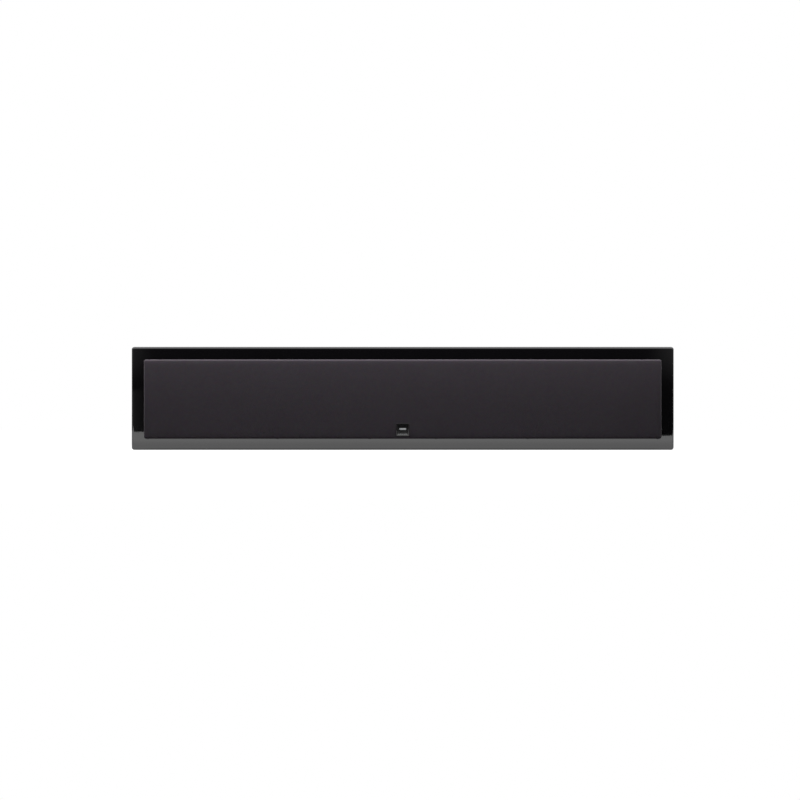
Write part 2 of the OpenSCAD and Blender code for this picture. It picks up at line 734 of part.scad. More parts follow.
// Dome that caps the voice coil, trimmed where it meets the cone
module dust_cap(side) {
    ball_r = (pow(dust_cap_r, 2) + pow(dust_cap_h, 2)) / (2 * dust_cap_h);
    rim_u = neck_u + (dust_cap_r - former_r) * cone_slope;
    color(rubber) place(side * woofer_x, seat_u) rotate_extrude() intersection() {
        difference() {
            translate([0, rim_u + dust_cap_h - ball_r]) circle(ball_r, $fn = 128);
            translate([0, rim_u + dust_cap_h - ball_r]) circle(ball_r - 0.6, $fn = 128);
        }
        polygon([[0, neck_u - former_r * cone_slope], [dust_cap_r, rim_u], [dust_cap_r, rim_u + 2 * dust_cap_h],
            [0, rim_u + 2 * dust_cap_h]]);
    }
}

// Corrugated spider between the former and the basket's shelf, cupped so that its collar lies behind its rim
module spider(side) {
    wave_start = former_r + 1.6;
    wave_end = spider_r - 4.2;
    wave_r = (wave_end - wave_start) / waves / 2;
    collar = -spider_d - spider_cup;
    // Level of half wave i's axis
    function axis_level(i) = collar + (i + 0.5) * spider_cup / waves + (i % 2 == 0 ? 0.5 : -0.5) * spider_leg;
    color(spider_tone) place(side * woofer_x, seat_u) rotate_extrude() {
        translate([former_r, collar]) square([wave_start - former_r + spider_t / 2, spider_t]);
        translate([wave_start - spider_t / 2, collar]) square([spider_t, axis_level(0) - collar]);
        for (i = [0:waves - 1]) translate([wave_start + (2 * i + 1) * wave_r, axis_level(i)]) difference() {
            circle(wave_r + spider_t / 2);
            circle(wave_r - spider_t / 2);
            translate([-2 * wave_r, i % 2 == 0 ? -4 * wave_r : 0]) square(4 * wave_r);
        }
        for (i = [1:waves - 1])
            translate([wave_start + 2 * i * wave_r - spider_t / 2, min(axis_level(i - 1), axis_level(i))])
                square([spider_t, abs(axis_level(i) - axis_level(i - 1))]);
        translate([wave_end - spider_t / 2, axis_level(waves - 1)])
            square([spider_t, spider_t - spider_d - axis_level(waves - 1)]);
        translate([wave_end - spider_t / 2, -spider_d]) square([spider_r - wave_end + spider_t / 2, spider_t]);
    }
}

module voice_coil(side) {
    winding_mid = -basket_d - plate_t / 2;
    color(copper) place(side * woofer_x, seat_u) rotate_extrude() {
        translate([former_r - former_t, neck_u + 1 - former_len]) square([former_t, former_len]);
        translate([former_r, winding_mid - winding_h / 2]) square([winding_t, winding_h]);
    }
}

module top_plate(side) {
    color(iron) place(side * woofer_x, seat_u + top_plate_u) difference() {
        cylinder(h = plate_t, r = plate_r);
        translate([0, 0, -over]) cylinder(h = plate_t + 2 * over, r = gap_r);
    }
}

module magnet(side) {
    color(ferrite) place(side * woofer_x, seat_u + magnet_u) rotate_extrude()
        polygon([[gap_r + 4, 0], [magnet_r - 1, 0], [magnet_r, 1], [magnet_r, magnet_h - 1],
            [magnet_r - 1, magnet_h], [gap_r + 4, magnet_h]]);
}

// Back plate and pole in one piece, with a vent through the pole
module yoke(side) {
    color(iron) place(side * woofer_x, seat_u + yoke_u) rotate_extrude()
        polygon([[vent_r, 0], [plate_r, 0], [plate_r + 1, 1], [plate_r + 1, plate_t], [pole_r, plate_t],
            [pole_r, plate_t + magnet_h + plate_t - 0.5], [pole_r - 0.5, plate_t + magnet_h + plate_t],
            [vent_r, plate_t + magnet_h + plate_t]]);
}

// Passive radiator: an open ring frame and a flat cone with a weight behind it
module radiator_frame(side) {
    color(moulding) place(side * radiator_x, seat_u) difference() {
        rotate_extrude() {
            flange_section();
            translate([basket_hole_r, -8]) square([basket_t, 8]);
        }
        frame_screw_holes(driver_screw_pcd_r);
    }
}

module radiator_cone(side) {
    back_u = land_u - flat_cone_t;
    color(pulp) place(side * radiator_x, seat_u) rotate_extrude()
        polygon([[0, back_u], [cone_r - 0.6, back_u], [cone_r, back_u + 0.6], [cone_r, land_u],
            [cone_r - land_w, land_u], [cone_r - land_w - 1.5, land_u - 0.8], [0, land_u - 0.8]]);
}

module radiator_weight(side) {
    color(steel) place(side * radiator_x, seat_u + land_u - flat_cone_t - weight_t) rotate_extrude()
        polygon([[0, 0], [weight_r - 0.8, 0], [weight_r, 0.8], [weight_r, weight_t], [0, weight_t]]);
}

// Tweeter
module tweeter_faceplate() {
    color(moulding) place(0, seat_u) difference() {
        union() {
            rotate_extrude() difference() {
                polygon([[throat_r, 0], [tweeter_r, 0], [tweeter_r, flange_t - 0.5], [tweeter_r - 0.5, flange_t],
                    [throat_r, flange_t]]);
                polygon(concat([[throat_r - over, flange_t + over], [throat_r - over, flange_t - flare_d]],
                    [for (i = [0:8]) [throat_r + (mouth_r - throat_r) * i / 8,
                        flange_t - flare_d * pow(1 - i / 8, 1.6)]],
                    [[mouth_r, flange_t + over]]));
            }
            translate([0, 0, -6]) difference() {
                cylinder(h = 6 + over, r = yoke_r + fit + yoke_collar_t);
                translate([0, 0, -over]) cylinder(h = 6 + over, r = yoke_r + fit);
                cylinder(h = 6 + 2 * over, r = throat_r);
            }
            translate([-7, yoke_r + yoke_collar_t - over, -6]) cube([14, 7, 1.6]);
        }
        frame_screw_holes(tweeter_screw_pcd_r);
    }
}

// Cloth dome and its roll, with a flat rim clamped behind the faceplate
module tweeter_diaphragm() {
    ball_r = (pow(dome_r, 2) + pow(dome_h, 2)) / (2 * dome_h);
    small_r = (throat_r - 0.3 - dome_r) / 2;
    color(rubber) place(0, seat_u) rotate_extrude() {
        intersection() {
            difference() {
                translate([0, dome_h - ball_r]) circle(ball_r + dome_t / 2, $fn = 128);
                translate([0, dome_h - ball_r]) circle(ball_r - dome_t / 2, $fn = 128);
            }
            translate([0, -dome_t / 2]) square([dome_r, 2 * dome_h]);
        }
        translate([dome_r + small_r, -dome_t]) difference() {
            circle(small_r + dome_t / 2);
            circle(small_r - dome_t / 2);
            translate([-2 * small_r, -4 * small_r]) square([4 * small_r, 4 * small_r]);
        }
        translate([dome_r + 2 * small_r - dome_t / 2, -dome_t])
            square([yoke_r - 1 - dome_r - 2 * small_r, dome_t]);
    }
}

module tweeter_voice_coil() {
    former_end = pole2_u + 1.2 * pole_h - 0.5;
    color(copper) place(0, seat_u) rotate_extrude() {
        translate([former2_r - former2_t, -former_end]) square([former2_t, former_end - dome_t]);
        translate([former2_r, -pole2_u - pole_h]) square([winding2_t, 0.8 * pole_h]);
    }
}

module tweeter_pole_plate() {
    color(iron) place(0, seat_u - pole2_u - pole_h) cylinder(h = pole_h, r = pole2_r);
}

module tweeter_magnet() {
    color(steel) place(0, seat_u - pole2_u - pole_h - disc_h) cylinder(h = disc_h, r = pole2_r - 0.8);
}

module tweeter_yoke() {
    depth = pole2_u + pole_h + disc_h + yoke_floor;
    color(iron) place(0, seat_u - depth) rotate_extrude()
        polygon([[0, 0], [yoke_r - 1, 0], [yoke_r, 1], [yoke_r, depth - dome_t], [yoke_in_r, depth - dome_t],
            [yoke_in_r, yoke_floor], [0, yoke_floor]]);
}

// Pan-head screws that hold every driver
module driver_screws() {
    color("#1e1e20") for (p = driver_screw_points) place(p[0], cab_d - pan_len, p[1]) difference() {
        union() {
            cylinder(h = pan_len + 0.5, r = pan_r);
            translate([0, 0, pan_len]) cylinder(h = pan_head_h / 2, r = pan_head_r);
            translate([0, 0, pan_len + pan_head_h / 2])
                cylinder(h = pan_head_h / 2, r1 = pan_head_r, r2 = pan_head_r - pan_head_h / 2);
        }
        translate([0, 0, pan_len + pan_head_h]) cross_recess(pan_head_r);
    }
}

// Crossover on posts behind the left radiator
function board_points() = [for (sx = [-1, 1], sz = [-1, 1])
    [sx * (board_w / 2 - 6) - board_x, sz * (board_h / 2 - 6)]];
board_u = cover_t + standoff_h;
parts_u = board_u + board_t;

module crossover_board() {
    color("#1d5a35") difference() {
        place(-board_x, board_u) plate(board_w, board_h, board_t, 2);
        for (p = board_points()) place(p[0], board_u - over, p[1]) cylinder(h = board_t + 2 * over, r = 1.5 + fit);
    }
}

module chokes() {
    row_z = board_h / 2 - choke_r - 5;
    color(copper) for (i = [-1:1]) place(i * (2 * choke_r + 1) - board_x, parts_u, row_z - 10 * abs(i))
        difference() {
            cylinder(h = choke_h, r = choke_r);
            translate([0, 0, -over]) cylinder(h = choke_h + 2 * over, r = choke_r / 2);
        }
}

module capacitors() {
    first_z = 6 + cap_body_r - board_h / 2;
    row_x = -board_x - cap_body_len / 2 - 2;
    color("#c9b23a") for (i = [0, 1]) place(row_x, parts_u + cap_body_r, first_z + i * (2 * cap_body_r + 1))
        rotate([0, 90, 0]) cylinder(h = cap_body_len, r = cap_body_r, center = true);
}

module resistors() {
    first_z = 2 + resistor_w - board_h / 2;
    row_x = -board_x + resistor_len / 2 + 4;
    color("#d9d6cc") for (i = [0, 1]) place(row_x, parts_u, first_z + i * (resistor_w + 4))
        plate(resistor_len, resistor_w, resistor_w, 1);
}

// Terminals
module terminal_cup() {
    round_r = inner_r - gap / 2;
    color(moulding) difference() {
        union() {
            place(0, 0, cup_z) plate(cup_out_w + 2 * cup_lug, cup_out_h + 2 * cup_brim, cup_flange_t, round_r);
            place(0, 0, cup_z) plate(cup_out_w, cup_out_h, cup_d + cup_wall, round_r);
        }
        place(0, -over, cup_z) plate(cup_w, cup_h, cup_d + over, round_r);
        for (s = [-1, 1]) place(s * post_pitch / 2, cup_d - over, post_z)
            cylinder(h = cup_wall + 2 * over, r = post_r + 2 * fit);
        for (p = cup_screw_points) place(p[0], 0, p[1]) screw_hole(cup_flange_t);
        cable_channel();
    }
}

module binding_post(side) {
    color(gold) difference() {
        union() {
            place(side * post_pitch / 2, post_tip, post_z) cylinder(h = post_end_u - post_tip, r = post_r);
            place(side * post_pitch / 2, collar_u, post_z) cylinder(h = collar_t, r = collar_r);
        }
        place(side * post_pitch / 2, post_tip - over, post_z) cylinder(h = post_bore_d + over, r = post_bore_r);
        translate([side * post_pitch / 2, wire_hole_r + 0.2 - collar_u, post_z])
            cylinder(h = 4 * post_r, r = wire_hole_r, center = true);
    }
}

module clamp_washer(side) {
    color(gold) place(side * post_pitch / 2, washer_u, post_z) difference() {
        cylinder(h = washer_t, r = washer_r);
        translate([0, 0, -over]) cylinder(h = washer_t + 2 * over, r = post_r + fit);
    }
}

// Threaded cap with grip flutes, open at both ends so that a plug goes in past it
module post_cap(side, tone) {
    color(tone) place(side * post_pitch / 2, cap_u, post_z) difference() {
        union() {
            cylinder(h = 1, r1 = cap_r - 1, r2 = cap_r);
            translate([0, 0, 1]) cylinder(h = cap_len - 2, r = cap_r);
            translate([0, 0, cap_len - 1]) cylinder(h = 1, r = washer_r);
        }
        translate([0, 0, -over]) cylinder(h = cap_len + 2 * over, r = post_r + fit);
        for (i = [0:flutes - 1]) rotate(i * 360 / flutes) translate([cap_r + 0.4, 0, -over])
            cylinder(h = cap_len - 1, r = 0.9);
    }
}

module post_nuts() {
    color(gold) for (s = [-1, 1]) place(s * post_pitch / 2, nut_u, post_z) difference() {
        cylinder(h = nut_t, r = nut_r, $fn = 6);
        translate([0, 0, -over]) cylinder(h = nut_t + 2 * over, r = post_r + fit);
    }
}

// Wiring inside the cabinet, as points that each wire runs through
wire_u = 15;
wire_top = 46;
wire_seat = 0.6;
board_edge = board_w / 2 - board_x - 2;
board_line = -parts_u - wire_r;
stud_line = -post_end_u - wire_seat;
tag_line = -seat_u + basket_d - 1;
tag_z = plate_r + 8 + wire_seat;
tweeter_tag_z = yoke_r + yoke_collar_t + 6 + wire_seat;
wire_routes = [
    [[post_pitch / 2, stud_line, post_z], [post_pitch / 2, stud_line - 5, post_z + 2], [-2, stud_line - 4, 2],
        [-44, -wire_u - 10, 24], [-80, -wire_u - 1, 26], [board_edge, board_line, 14]],
    [[-post_pitch / 2, stud_line, post_z], [-post_pitch / 2, stud_line - 5, post_z + 2], [-24, stud_line, -10],
        [-54, -wire_u - 8, 6], [-80, -wire_u - 1, 12], [board_edge, board_line, 6]],
    [[-woofer_x, tag_line, tag_z], [-woofer_x, tag_line, wire_top], [-woofer_x - 12, -wire_u - 10, wire_top],
        [-170, -wire_u - 2, 30], [board_edge, board_line, 22]],
    [[0, -seat_u + 5.2, tweeter_tag_z], [0, -seat_u + 7, 40], [-18, -40, wire_top], [-60, -wire_u - 4, wire_top],
        [-130, -wire_u, 50], [board_edge, board_line, 30]],
    [[woofer_x, tag_line, tag_z], [woofer_x, tag_line, 48], [woofer_x - 14, -wire_u - 12, 56], [40, -wire_u, 58],
        [-60, -wire_u, 60], [-140, -wire_u, 58], [board_edge, board_line, 37]]];
wire_sides = 8;
// A direction that no wire runs along, used to turn the rings
wire_up = [1, 3, 5];

// Point at t along a smooth curve through the route
function route_at(r, t) = let(n = len(r), i = min(floor(t), n - 2), f = t - i,
    a = r[max(i - 1, 0)], b = r[i], c = r[i + 1], d = r[min(i + 2, n - 1)])
    0.5 * (2 * b + (c - a) * f + (2 * a - 5 * b + 4 * c - d) * f * f + (3 * b - a - 3 * c + d) * f * f * f);

module wire(route) {
    steps = 2 * (len(route) - 1);
    rings = [for (k = [0:steps]) let(
        t = k / 2,
        p = route_at(route, t),
        d = route_at(route, min(t + 0.05, len(route) - 1)) - route_at(route, max(t - 0.05, 0)),
        side = cross(d, wire_up) / norm(cross(d, wire_up)),
        rise = cross(side, d) / norm(d))
        [for (j = [0:wire_sides - 1]) let(a = j * 360 / wire_sides) p + wire_r * (cos(a) * side + sin(a) * rise)]];
    polyhedron(
        points = [for (ring = rings, q = ring) q],
        faces = concat(
            [[for (j = [0:wire_sides - 1]) wire_sides - 1 - j]],
            [for (k = [0:steps - 1], j = [0:wire_sides - 1]) let(m = (j + 1) % wire_sides, b = k * wire_sides)
                [b + j, b + m, b + m + wire_sides, b + j + wire_sides]],
            [[for (j = [0:wire_sides - 1]) steps * wire_sides + j]]));
}

module internal_wiring() {
    color("#b3362c") for (route = wire_routes) wire(route);
}

cabinet_shell();
rear_cover();
cover_gasket();
rear_screws();
keyhole_plate(key_points[0]);  // keyhole_plate_left
keyhole_plate(key_points[1]);  // keyhole_plate_right
damping_pad(-1);  // damping_pad_left
damping_pad(1);  // damping_pad_right
grille_frame();
grille_cloth();
grille_badge();
grille_cups();
tweeter_faceplate();
tweeter_diaphragm();
tweeter_voice_coil();
tweeter_pole_plate();
tweeter_magnet();
tweeter_yoke();
woofer_basket(-1);  // woofer_left_basket
trim_ring(-1);  // woofer_left_trim_ring
surround(-woofer_x);  // woofer_left_surround
woofer_cone(-1);  // woofer_left_cone
dust_cap(-1);  // woofer_left_dust_cap
spider(-1);  // woofer_left_spider
voice_coil(-1);  // woofer_left_voice_coil
top_plate(-1);  // woofer_left_top_plate
magnet(-1);  // woofer_left_magnet
yoke(-1);  // woofer_left_yoke
woofer_basket(1);  // woofer_right_basket
trim_ring(1);  // woofer_right_trim_ring
surround(woofer_x);  // woofer_right_surround
woofer_cone(1);  // woofer_right_cone
dust_cap(1);  // woofer_right_dust_cap
spider(1);  // woofer_right_spider
voice_coil(1);  // woofer_right_voice_coil
top_plate(1);  // woofer_right_top_plate
magnet(1);  // woofer_right_magnet
yoke(1);  // woofer_right_yoke
radiator_frame(-1);  // radiator_left_frame
surround(-radiator_x);  // radiator_left_surround
radiator_cone(-1);  // radiator_left_cone
radiator_weight(-1);  // radiator_left_weight
radiator_frame(1);  // radiator_right_frame
surround(radiator_x);  // radiator_right_surround
radiator_cone(1);  // radiator_right_cone
radiator_weight(1);  // radiator_right_weight
driver_screws();
crossover_board();
chokes();
capacitors();
resistors();
terminal_cup();
binding_post(1);  // binding_post_red
binding_post(-1);  // binding_post_black
clamp_washer(1);  // clamp_washer_red
clamp_washer(-1);  // clamp_washer_black
post_cap(1, "#b01c1c");  // post_cap_red
post_cap(-1, "#151516");  // post_cap_black
post_nuts();
internal_wiring();
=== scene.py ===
"""On-wall speaker: finishes, soft pieces, small details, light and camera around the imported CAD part.

X runs along the cabinet, the front faces -Y, the wall plane is y = 0 and z = 0 is half way up the cabinet.
"""

import json
import math

import bmesh
import bpy
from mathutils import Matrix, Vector


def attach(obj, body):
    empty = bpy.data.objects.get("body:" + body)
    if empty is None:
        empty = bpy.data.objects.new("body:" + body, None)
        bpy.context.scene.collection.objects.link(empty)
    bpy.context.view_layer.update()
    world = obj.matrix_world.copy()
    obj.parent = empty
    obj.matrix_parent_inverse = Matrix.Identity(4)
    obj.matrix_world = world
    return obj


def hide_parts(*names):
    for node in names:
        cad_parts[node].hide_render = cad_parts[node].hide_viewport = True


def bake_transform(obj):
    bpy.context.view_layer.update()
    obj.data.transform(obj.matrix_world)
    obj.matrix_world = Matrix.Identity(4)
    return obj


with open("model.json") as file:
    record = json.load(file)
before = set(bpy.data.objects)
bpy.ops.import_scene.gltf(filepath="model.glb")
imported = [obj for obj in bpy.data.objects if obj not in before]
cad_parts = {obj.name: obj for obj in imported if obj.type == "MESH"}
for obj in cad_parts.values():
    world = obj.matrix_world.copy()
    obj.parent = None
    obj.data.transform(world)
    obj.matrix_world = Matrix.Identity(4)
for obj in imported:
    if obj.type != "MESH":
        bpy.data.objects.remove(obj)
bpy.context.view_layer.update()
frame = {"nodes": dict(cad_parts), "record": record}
nodes = frame["nodes"]
scene = bpy.context.scene
MM = 0.001

# Places that part.scad gives, in millimetres
CABINET_H = 175
FRONT_U = 72
SEAT_U = 68
WOOFERS = {"left": -124, "right": 124}
RADIATORS = {"left": -300, "right": 300}
GRILLE_W, GRILLE_H, GRILLE_MID = 876, 134.2, -1.3
GRILLE_BACK, GRILLE_FRONT = 72, 84
BADGE_W, BADGE_MID = 21, -52.9
CROSS_BARS = (-393.15, -212, -56, 56, 212, 393.15)
POST_XS = {"red": 9.5, "black": -9.5}
POST_Z = -29
PARTS_U = 11.6

# Where the lacquer ends, half a millimetre past the shell's inner faces
BARE_X, BARE_Z, BARE_U = 454.5, 82, 63.5

# Camera: level and square on, from as far off as the photograph's flat perspective asks for
DISTANCE = 4.2
PHOTO_SPAN = 1.357
AIM_X, AIM_Z = -0.0046, -0.0027

camera = bpy.data.objects.new("camera", bpy.data.cameras.new("camera"))
scene.collection.objects.link(camera)
camera.location = (AIM_X, -FRONT_U * MM - DISTANCE, AIM_Z)
camera.rotation_euler = (math.radians(90), 0, 0)
camera.data.lens = camera.data.sensor_width * DISTANCE / PHOTO_SPAN
camera.data.clip_end = 20
scene.camera = camera
scene.view_settings.view_transform = "Standard"


# Finishes
def linear(code):
    """A hex sRGB colour as linear RGBA."""
    channels = [int(code[i:i + 2], 16) / 255 for i in (1, 3, 5)]
    return [c / 12.92 if c <= 0.04045 else ((c + 0.055) / 1.055) ** 2.4 for c in channels] + [1]


def put(tree, kind, settings=None, **inputs):
    """Adds a node, or takes one that is there, sets it and fills or links its inputs."""
    node = tree.nodes.new("ShaderNode" + kind) if isinstance(kind, str) else kind
    for key, value in (settings or {}).items():
        setattr(node, key, value)
    for key, value in inputs.items():
        socket = node.inputs[int(key[1:])] if key[1:].isdigit() else node.inputs[key.replace("_", " ")]
        if isinstance(value, bpy.types.NodeSocket):
            tree.links.new(value, socket)
        else:
            socket.default_value = linear(value) if isinstance(value, str) else value
    return node


def finish(name, **sockets):
    """A new material with its constants on the shader's own sockets, and where its patterns are read."""
    material = bpy.data.materials.new(name)
    material.use_nodes = True
    tree = material.node_tree
    shader = put(tree, tree.nodes["Principled BSDF"], **sockets)
    place = put(tree, "TexCoord").outputs["Object"]
    return material, tree, shader, place


# Nearly all of a noise texture's values lie between these two
NOISE_LOW, NOISE_HIGH = 0.3, 0.7
# Bands that a wave texture of scale 1 draws in each metre, about 20 / (2 * pi)
BANDS = 3.2


def mottled(tree, place, size, detail, deep, pale):
    """Soft patches of about this size between two colours: gives their pattern and their tone."""
    cloud = put(tree, "TexNoise", Vector=place, Scale=1 / size, Detail=detail).outputs["Fac"]
    return cloud, put(tree, "MixRGB", Fac=cloud, Color1=deep, Color2=pale).outputs[0]


def dress(tree, shader, tone, height, strength, depth, rough=None):
    """Gives the shader a tone, a relief and, where it varies, a roughness: its pattern and its two limits."""
    bump = put(tree, "Bump", Strength=strength, Distance=depth, Height=height)
    put(tree, shader, Base_Color=tone, Normal=bump.outputs[0])
    if rough:
        pattern, low, high = rough
        spread = put(tree, "MapRange", Value=pattern, From_Min=NOISE_LOW, From_Max=NOISE_HIGH, To_Min=low,
                     To_Max=high)
        put(tree, shader, Roughness=spread.outputs[0])


def piano_lacquer():
    # Black polyester lacquer, sprayed, flatted and polished: a deep black under a hard clear coat. Inside,
    # the moulding is bare, so the coat stops at the inner faces.
    material, tree, shader, place = finish("piano_lacquer", Base_Color="#070608", Coat_IOR=1.9,
                                           Coat_Roughness=0.015, Specular_IOR_Level=0.02)
    axes = put(tree, "SeparateXYZ", Vector=place).outputs
    in_x = put(tree, "Math", {"operation": "COMPARE"}, i0=axes["X"], i1=0.0, i2=BARE_X * MM)
    in_z = put(tree, "Math", {"operation": "COMPARE"}, i0=axes["Z"], i1=0.0, i2=BARE_Z * MM)
    in_y = put(tree, "Math", {"operation": "GREATER_THAN"}, i0=axes["Y"], i1=-BARE_U * MM)
    inside = put(tree, "Math", {"operation": "MULTIPLY"}, i0=in_x.outputs[0], i1=in_z.outputs[0]).outputs[0]
    inside = put(tree, "Math", {"operation": "MULTIPLY"}, i0=inside, i1=in_y.outputs[0]).outputs[0]
    _, tone = mottled(tree, place, 0.09, 2.0, "#060507", "#0a090b")
    tone = put(tree, "MixRGB", Fac=inside, Color1=tone, Color2="#1b1b1d").outputs[0]
    coat = put(tree, "Math", {"operation": "SUBTRACT"}, i0=1.0, i1=inside)
    grain = put(tree, "TexNoise", Vector=place, Scale=1 / 0.0012, Detail=2.0).outputs["Fac"]
    rough = put(tree, "MapRange", Value=grain, From_Min=NOISE_LOW, From_Max=NOISE_HIGH, To_Min=0.32,
                To_Max=0.45)
    # The flatted coat keeps a faint orange peel about 3 mm across
    peel = put(tree, "TexNoise", Vector=place, Scale=1 / 0.003, Detail=0.0).outputs["Fac"]
    bump = put(tree, "Bump", Strength=0.05, Distance=0.00002, Height=peel)
    put(tree, shader, Base_Color=tone, Coat_Weight=coat.outputs[0], Roughness=rough.outputs[0],
        Coat_Normal=bump.outputs[0])
    return material


def moulded_abs():
    # ABS moulded in a spark-eroded tool: dark grey with a fine even grain that breaks up the highlights
    material, tree, shader, place = finish("moulded_abs", Base_Color="#18181a", Specular_IOR_Level=0.45)
    cloud, tone = mottled(tree, place, 0.03, 3.0, "#161618", "#1e1e21")
    grain = put(tree, "TexVoronoi", Vector=place, Scale=1 / 0.0007).outputs["Distance"]
    dress(tree, shader, tone, grain, 0.35, 0.00006, rough=(cloud, 0.48, 0.62))
    return material


def foam_rubber():
    # Closed-cell foam strip: matt black with cells of about 0.6 mm
    material, tree, shader, place = finish("closed_cell_foam", Base_Color="#1c1c1d", Roughness=0.95)
    cells = put(tree, "TexVoronoi", {"feature": "SMOOTH_F1"}, Vector=place, Scale=1 / 0.0006)
    cells = cells.outputs["Distance"]
    # Painted shade: the foam is darker in its cells' hollows, where the relief is low
    tone = put(tree, "MixRGB", Fac=cells, Color1="#121213", Color2="#2a2a2c").outputs[0]
    dress(tree, shader, tone, cells, 0.6, 0.0002)
    return material


def zinc_plate():
    # Steel, pressed or turned and bright zinc plated: a cool grey metal with faint patches of tint
    material, tree, shader, place = finish("zinc_plated_steel", Metallic=1.0)
    patch, tone = mottled(tree, place, 0.006, 4.0, "#a9adb4", "#c4c5c2")
    lines = put(tree, "Mapping", Vector=place, Scale=(1 / 0.004, 1 / 0.0002, 1 / 0.0002)).outputs[0]
    scratch = put(tree, "TexNoise", Vector=lines, Scale=1.0, Detail=1.0).outputs["Fac"]
    dress(tree, shader, tone, scratch, 0.08, 0.00002, rough=(patch, 0.28, 0.42))
    return material


def polyester_wadding():
    # Carded polyester wadding: pale grey, with loose crimped fibres and soft hollows
    material, tree, shader, place = finish("polyester_wadding", Roughness=1.0, Sheen_Weight=0.3,
                                           Sheen_Roughness=0.6)
    # Painted shade: the wadding is darker in its hollows, where the relief is low
    hollows, tone = mottled(tree, place, 0.012, 4.0, "#7c7e81", "#b9babb")
    fibres = put(tree, "TexNoise", Vector=place, Scale=1 / 0.0015, Detail=5.0, Distortion=3.0).outputs
    tone = put(tree, "MixRGB", {"blend_type": "OVERLAY"}, Fac=0.6, Color1=tone, Color2=fibres["Color"])
    height = put(tree, "Math", {"operation": "ADD"}, i0=hollows, i1=fibres["Fac"])
    dress(tree, shader, tone.outputs[0], height.outputs[0], 0.7, 0.0012)
    return material


def weave(tree, vector, pitch):
    """Plain weave with threads a pitch apart: gives the height of the thread on top, and which it is."""
    cloth = put(tree, "VectorMath", {"operation": "SCALE"}, i0=vector, i3=1 / pitch).outputs[0]
    axes = put(tree, "SeparateXYZ", Vector=cloth).outputs
    over = put(tree, "TexChecker", Vector=cloth, Scale=1.0).outputs["Fac"]
    threads = []
    for axis in "XY":
        turn = put(tree, "Math", {"operation": "MULTIPLY"}, i0=axes[axis], i1=math.pi)
        swell = put(tree, "Math", {"operation": "SINE"}, i0=turn.outputs[0])
        threads.append(put(tree, "Math", {"operation": "ABSOLUTE"}, i0=swell.outputs[0]).outputs[0])
    return put(tree, "Mix", i0=over, i2=threads[0], i3=threads[1]).outputs[0], over


def grille_fabric():
    # Polyester grille cloth, woven from slubby charcoal yarn with a plum cast: open and matt. Its threads are
    # drawn 0.9 mm apart, coarser than real ones, so that they show
    material, tree, shader, _ = finish("woven_grille_cloth", Roughness=0.92, Sheen_Weight=0.12,
                                       Sheen_Roughness=0.5, Specular_IOR_Level=0.2)
    flat = put(tree, "UVMap", {"uv_map": "cut"}).outputs[0]
    height, over = weave(tree, flat, 0.0009)
    slub = put(tree, "TexNoise", Vector=flat, Scale=1 / 0.005, Detail=3.0).outputs["Color"]
    yarn = put(tree, "MixRGB", Fac=over, Color1="#3d383e", Color2="#443e44").outputs[0]
    yarn = put(tree, "MixRGB", {"blend_type": "SOFT_LIGHT"}, Fac=0.25, Color1=yarn, Color2=slub).outputs[0]
    # Painted shade: the cloth is darker between the threads, where the weave's relief is low
    tone = put(tree, "MixRGB", Fac=height, Color1="#262327", Color2=yarn).outputs[0]
    dress(tree, shader, tone, height, 0.35, 0.00025)
    return material


def badge_acrylic():
    # Injection-moulded acrylic, polished: a deep wet black with barely any texture
    material, tree, shader, place = finish("polished_acrylic", Coat_Weight=1.0, Coat_Roughness=0.02,
                                           Roughness=0.06)
    haze, tone = mottled(tree, place, 0.004, 2.0, "#050506", "#0b0b0d")
    dress(tree, shader, tone, haze, 0.03, 0.00001)
    return material


def butyl_rubber():
    # Butyl rubber, moulded and dusted with its own bloom: soft black with a faint grey film
    material, tree, shader, place = finish("moulded_butyl_rubber", Specular_IOR_Level=0.4)
    bloom, tone = mottled(tree, place, 0.009, 5.0, "#131314", "#242426")
    grain = put(tree, "TexNoise", Vector=place, Scale=1 / 0.0003, Detail=1.0).outputs["Fac"]
    dress(tree, shader, tone, grain, 0.15, 0.00004, rough=(bloom, 0.5, 0.75))
    return material


def paper_pulp():
    # Paper cone, felted from pulp and pressed: charcoal grey with short paler fibres and a dry surface
    material, tree, shader, place = finish("pressed_paper_pulp", Roughness=0.88, Specular_IOR_Level=0.3)
    _, tone = mottled(tree, place, 0.004, 6.0, "#1d1d20", "#2e2f33")
    hairs = put(tree, "TexNoise", Vector=place, Scale=1 / 0.0006, Detail=2.0, Distortion=4.0).outputs["Fac"]
    hair = put(tree, "MapRange", Value=hairs, From_Min=0.58, From_Max=0.66).outputs[0]
    tone = put(tree, "MixRGB", Fac=hair, Color1=tone, Color2="#45464b").outputs[0]
    dress(tree, shader, tone, hairs, 0.4, 0.0001)
    return material


def coated_silk():
    # Silk dome, pressed and sealed with a dark tacky coat: a fine weave under a soft shine
    material, tree, shader, place = finish("coated_silk", Roughness=0.5, Sheen_Weight=0.1)
    turned_up = put(tree, "Mapping", Vector=place, Rotation=(math.pi / 2, 0, 0)).outputs[0]
    height, _ = weave(tree, turned_up, 0.0004)
    # Painted shade: the dome is darker between the threads, where the weave's relief is low
    tone = put(tree, "MixRGB", Fac=height, Color1="#0e0e10", Color2="#202023").outputs[0]
    dress(tree, shader, tone, height, 0.25, 0.00006)
    return material


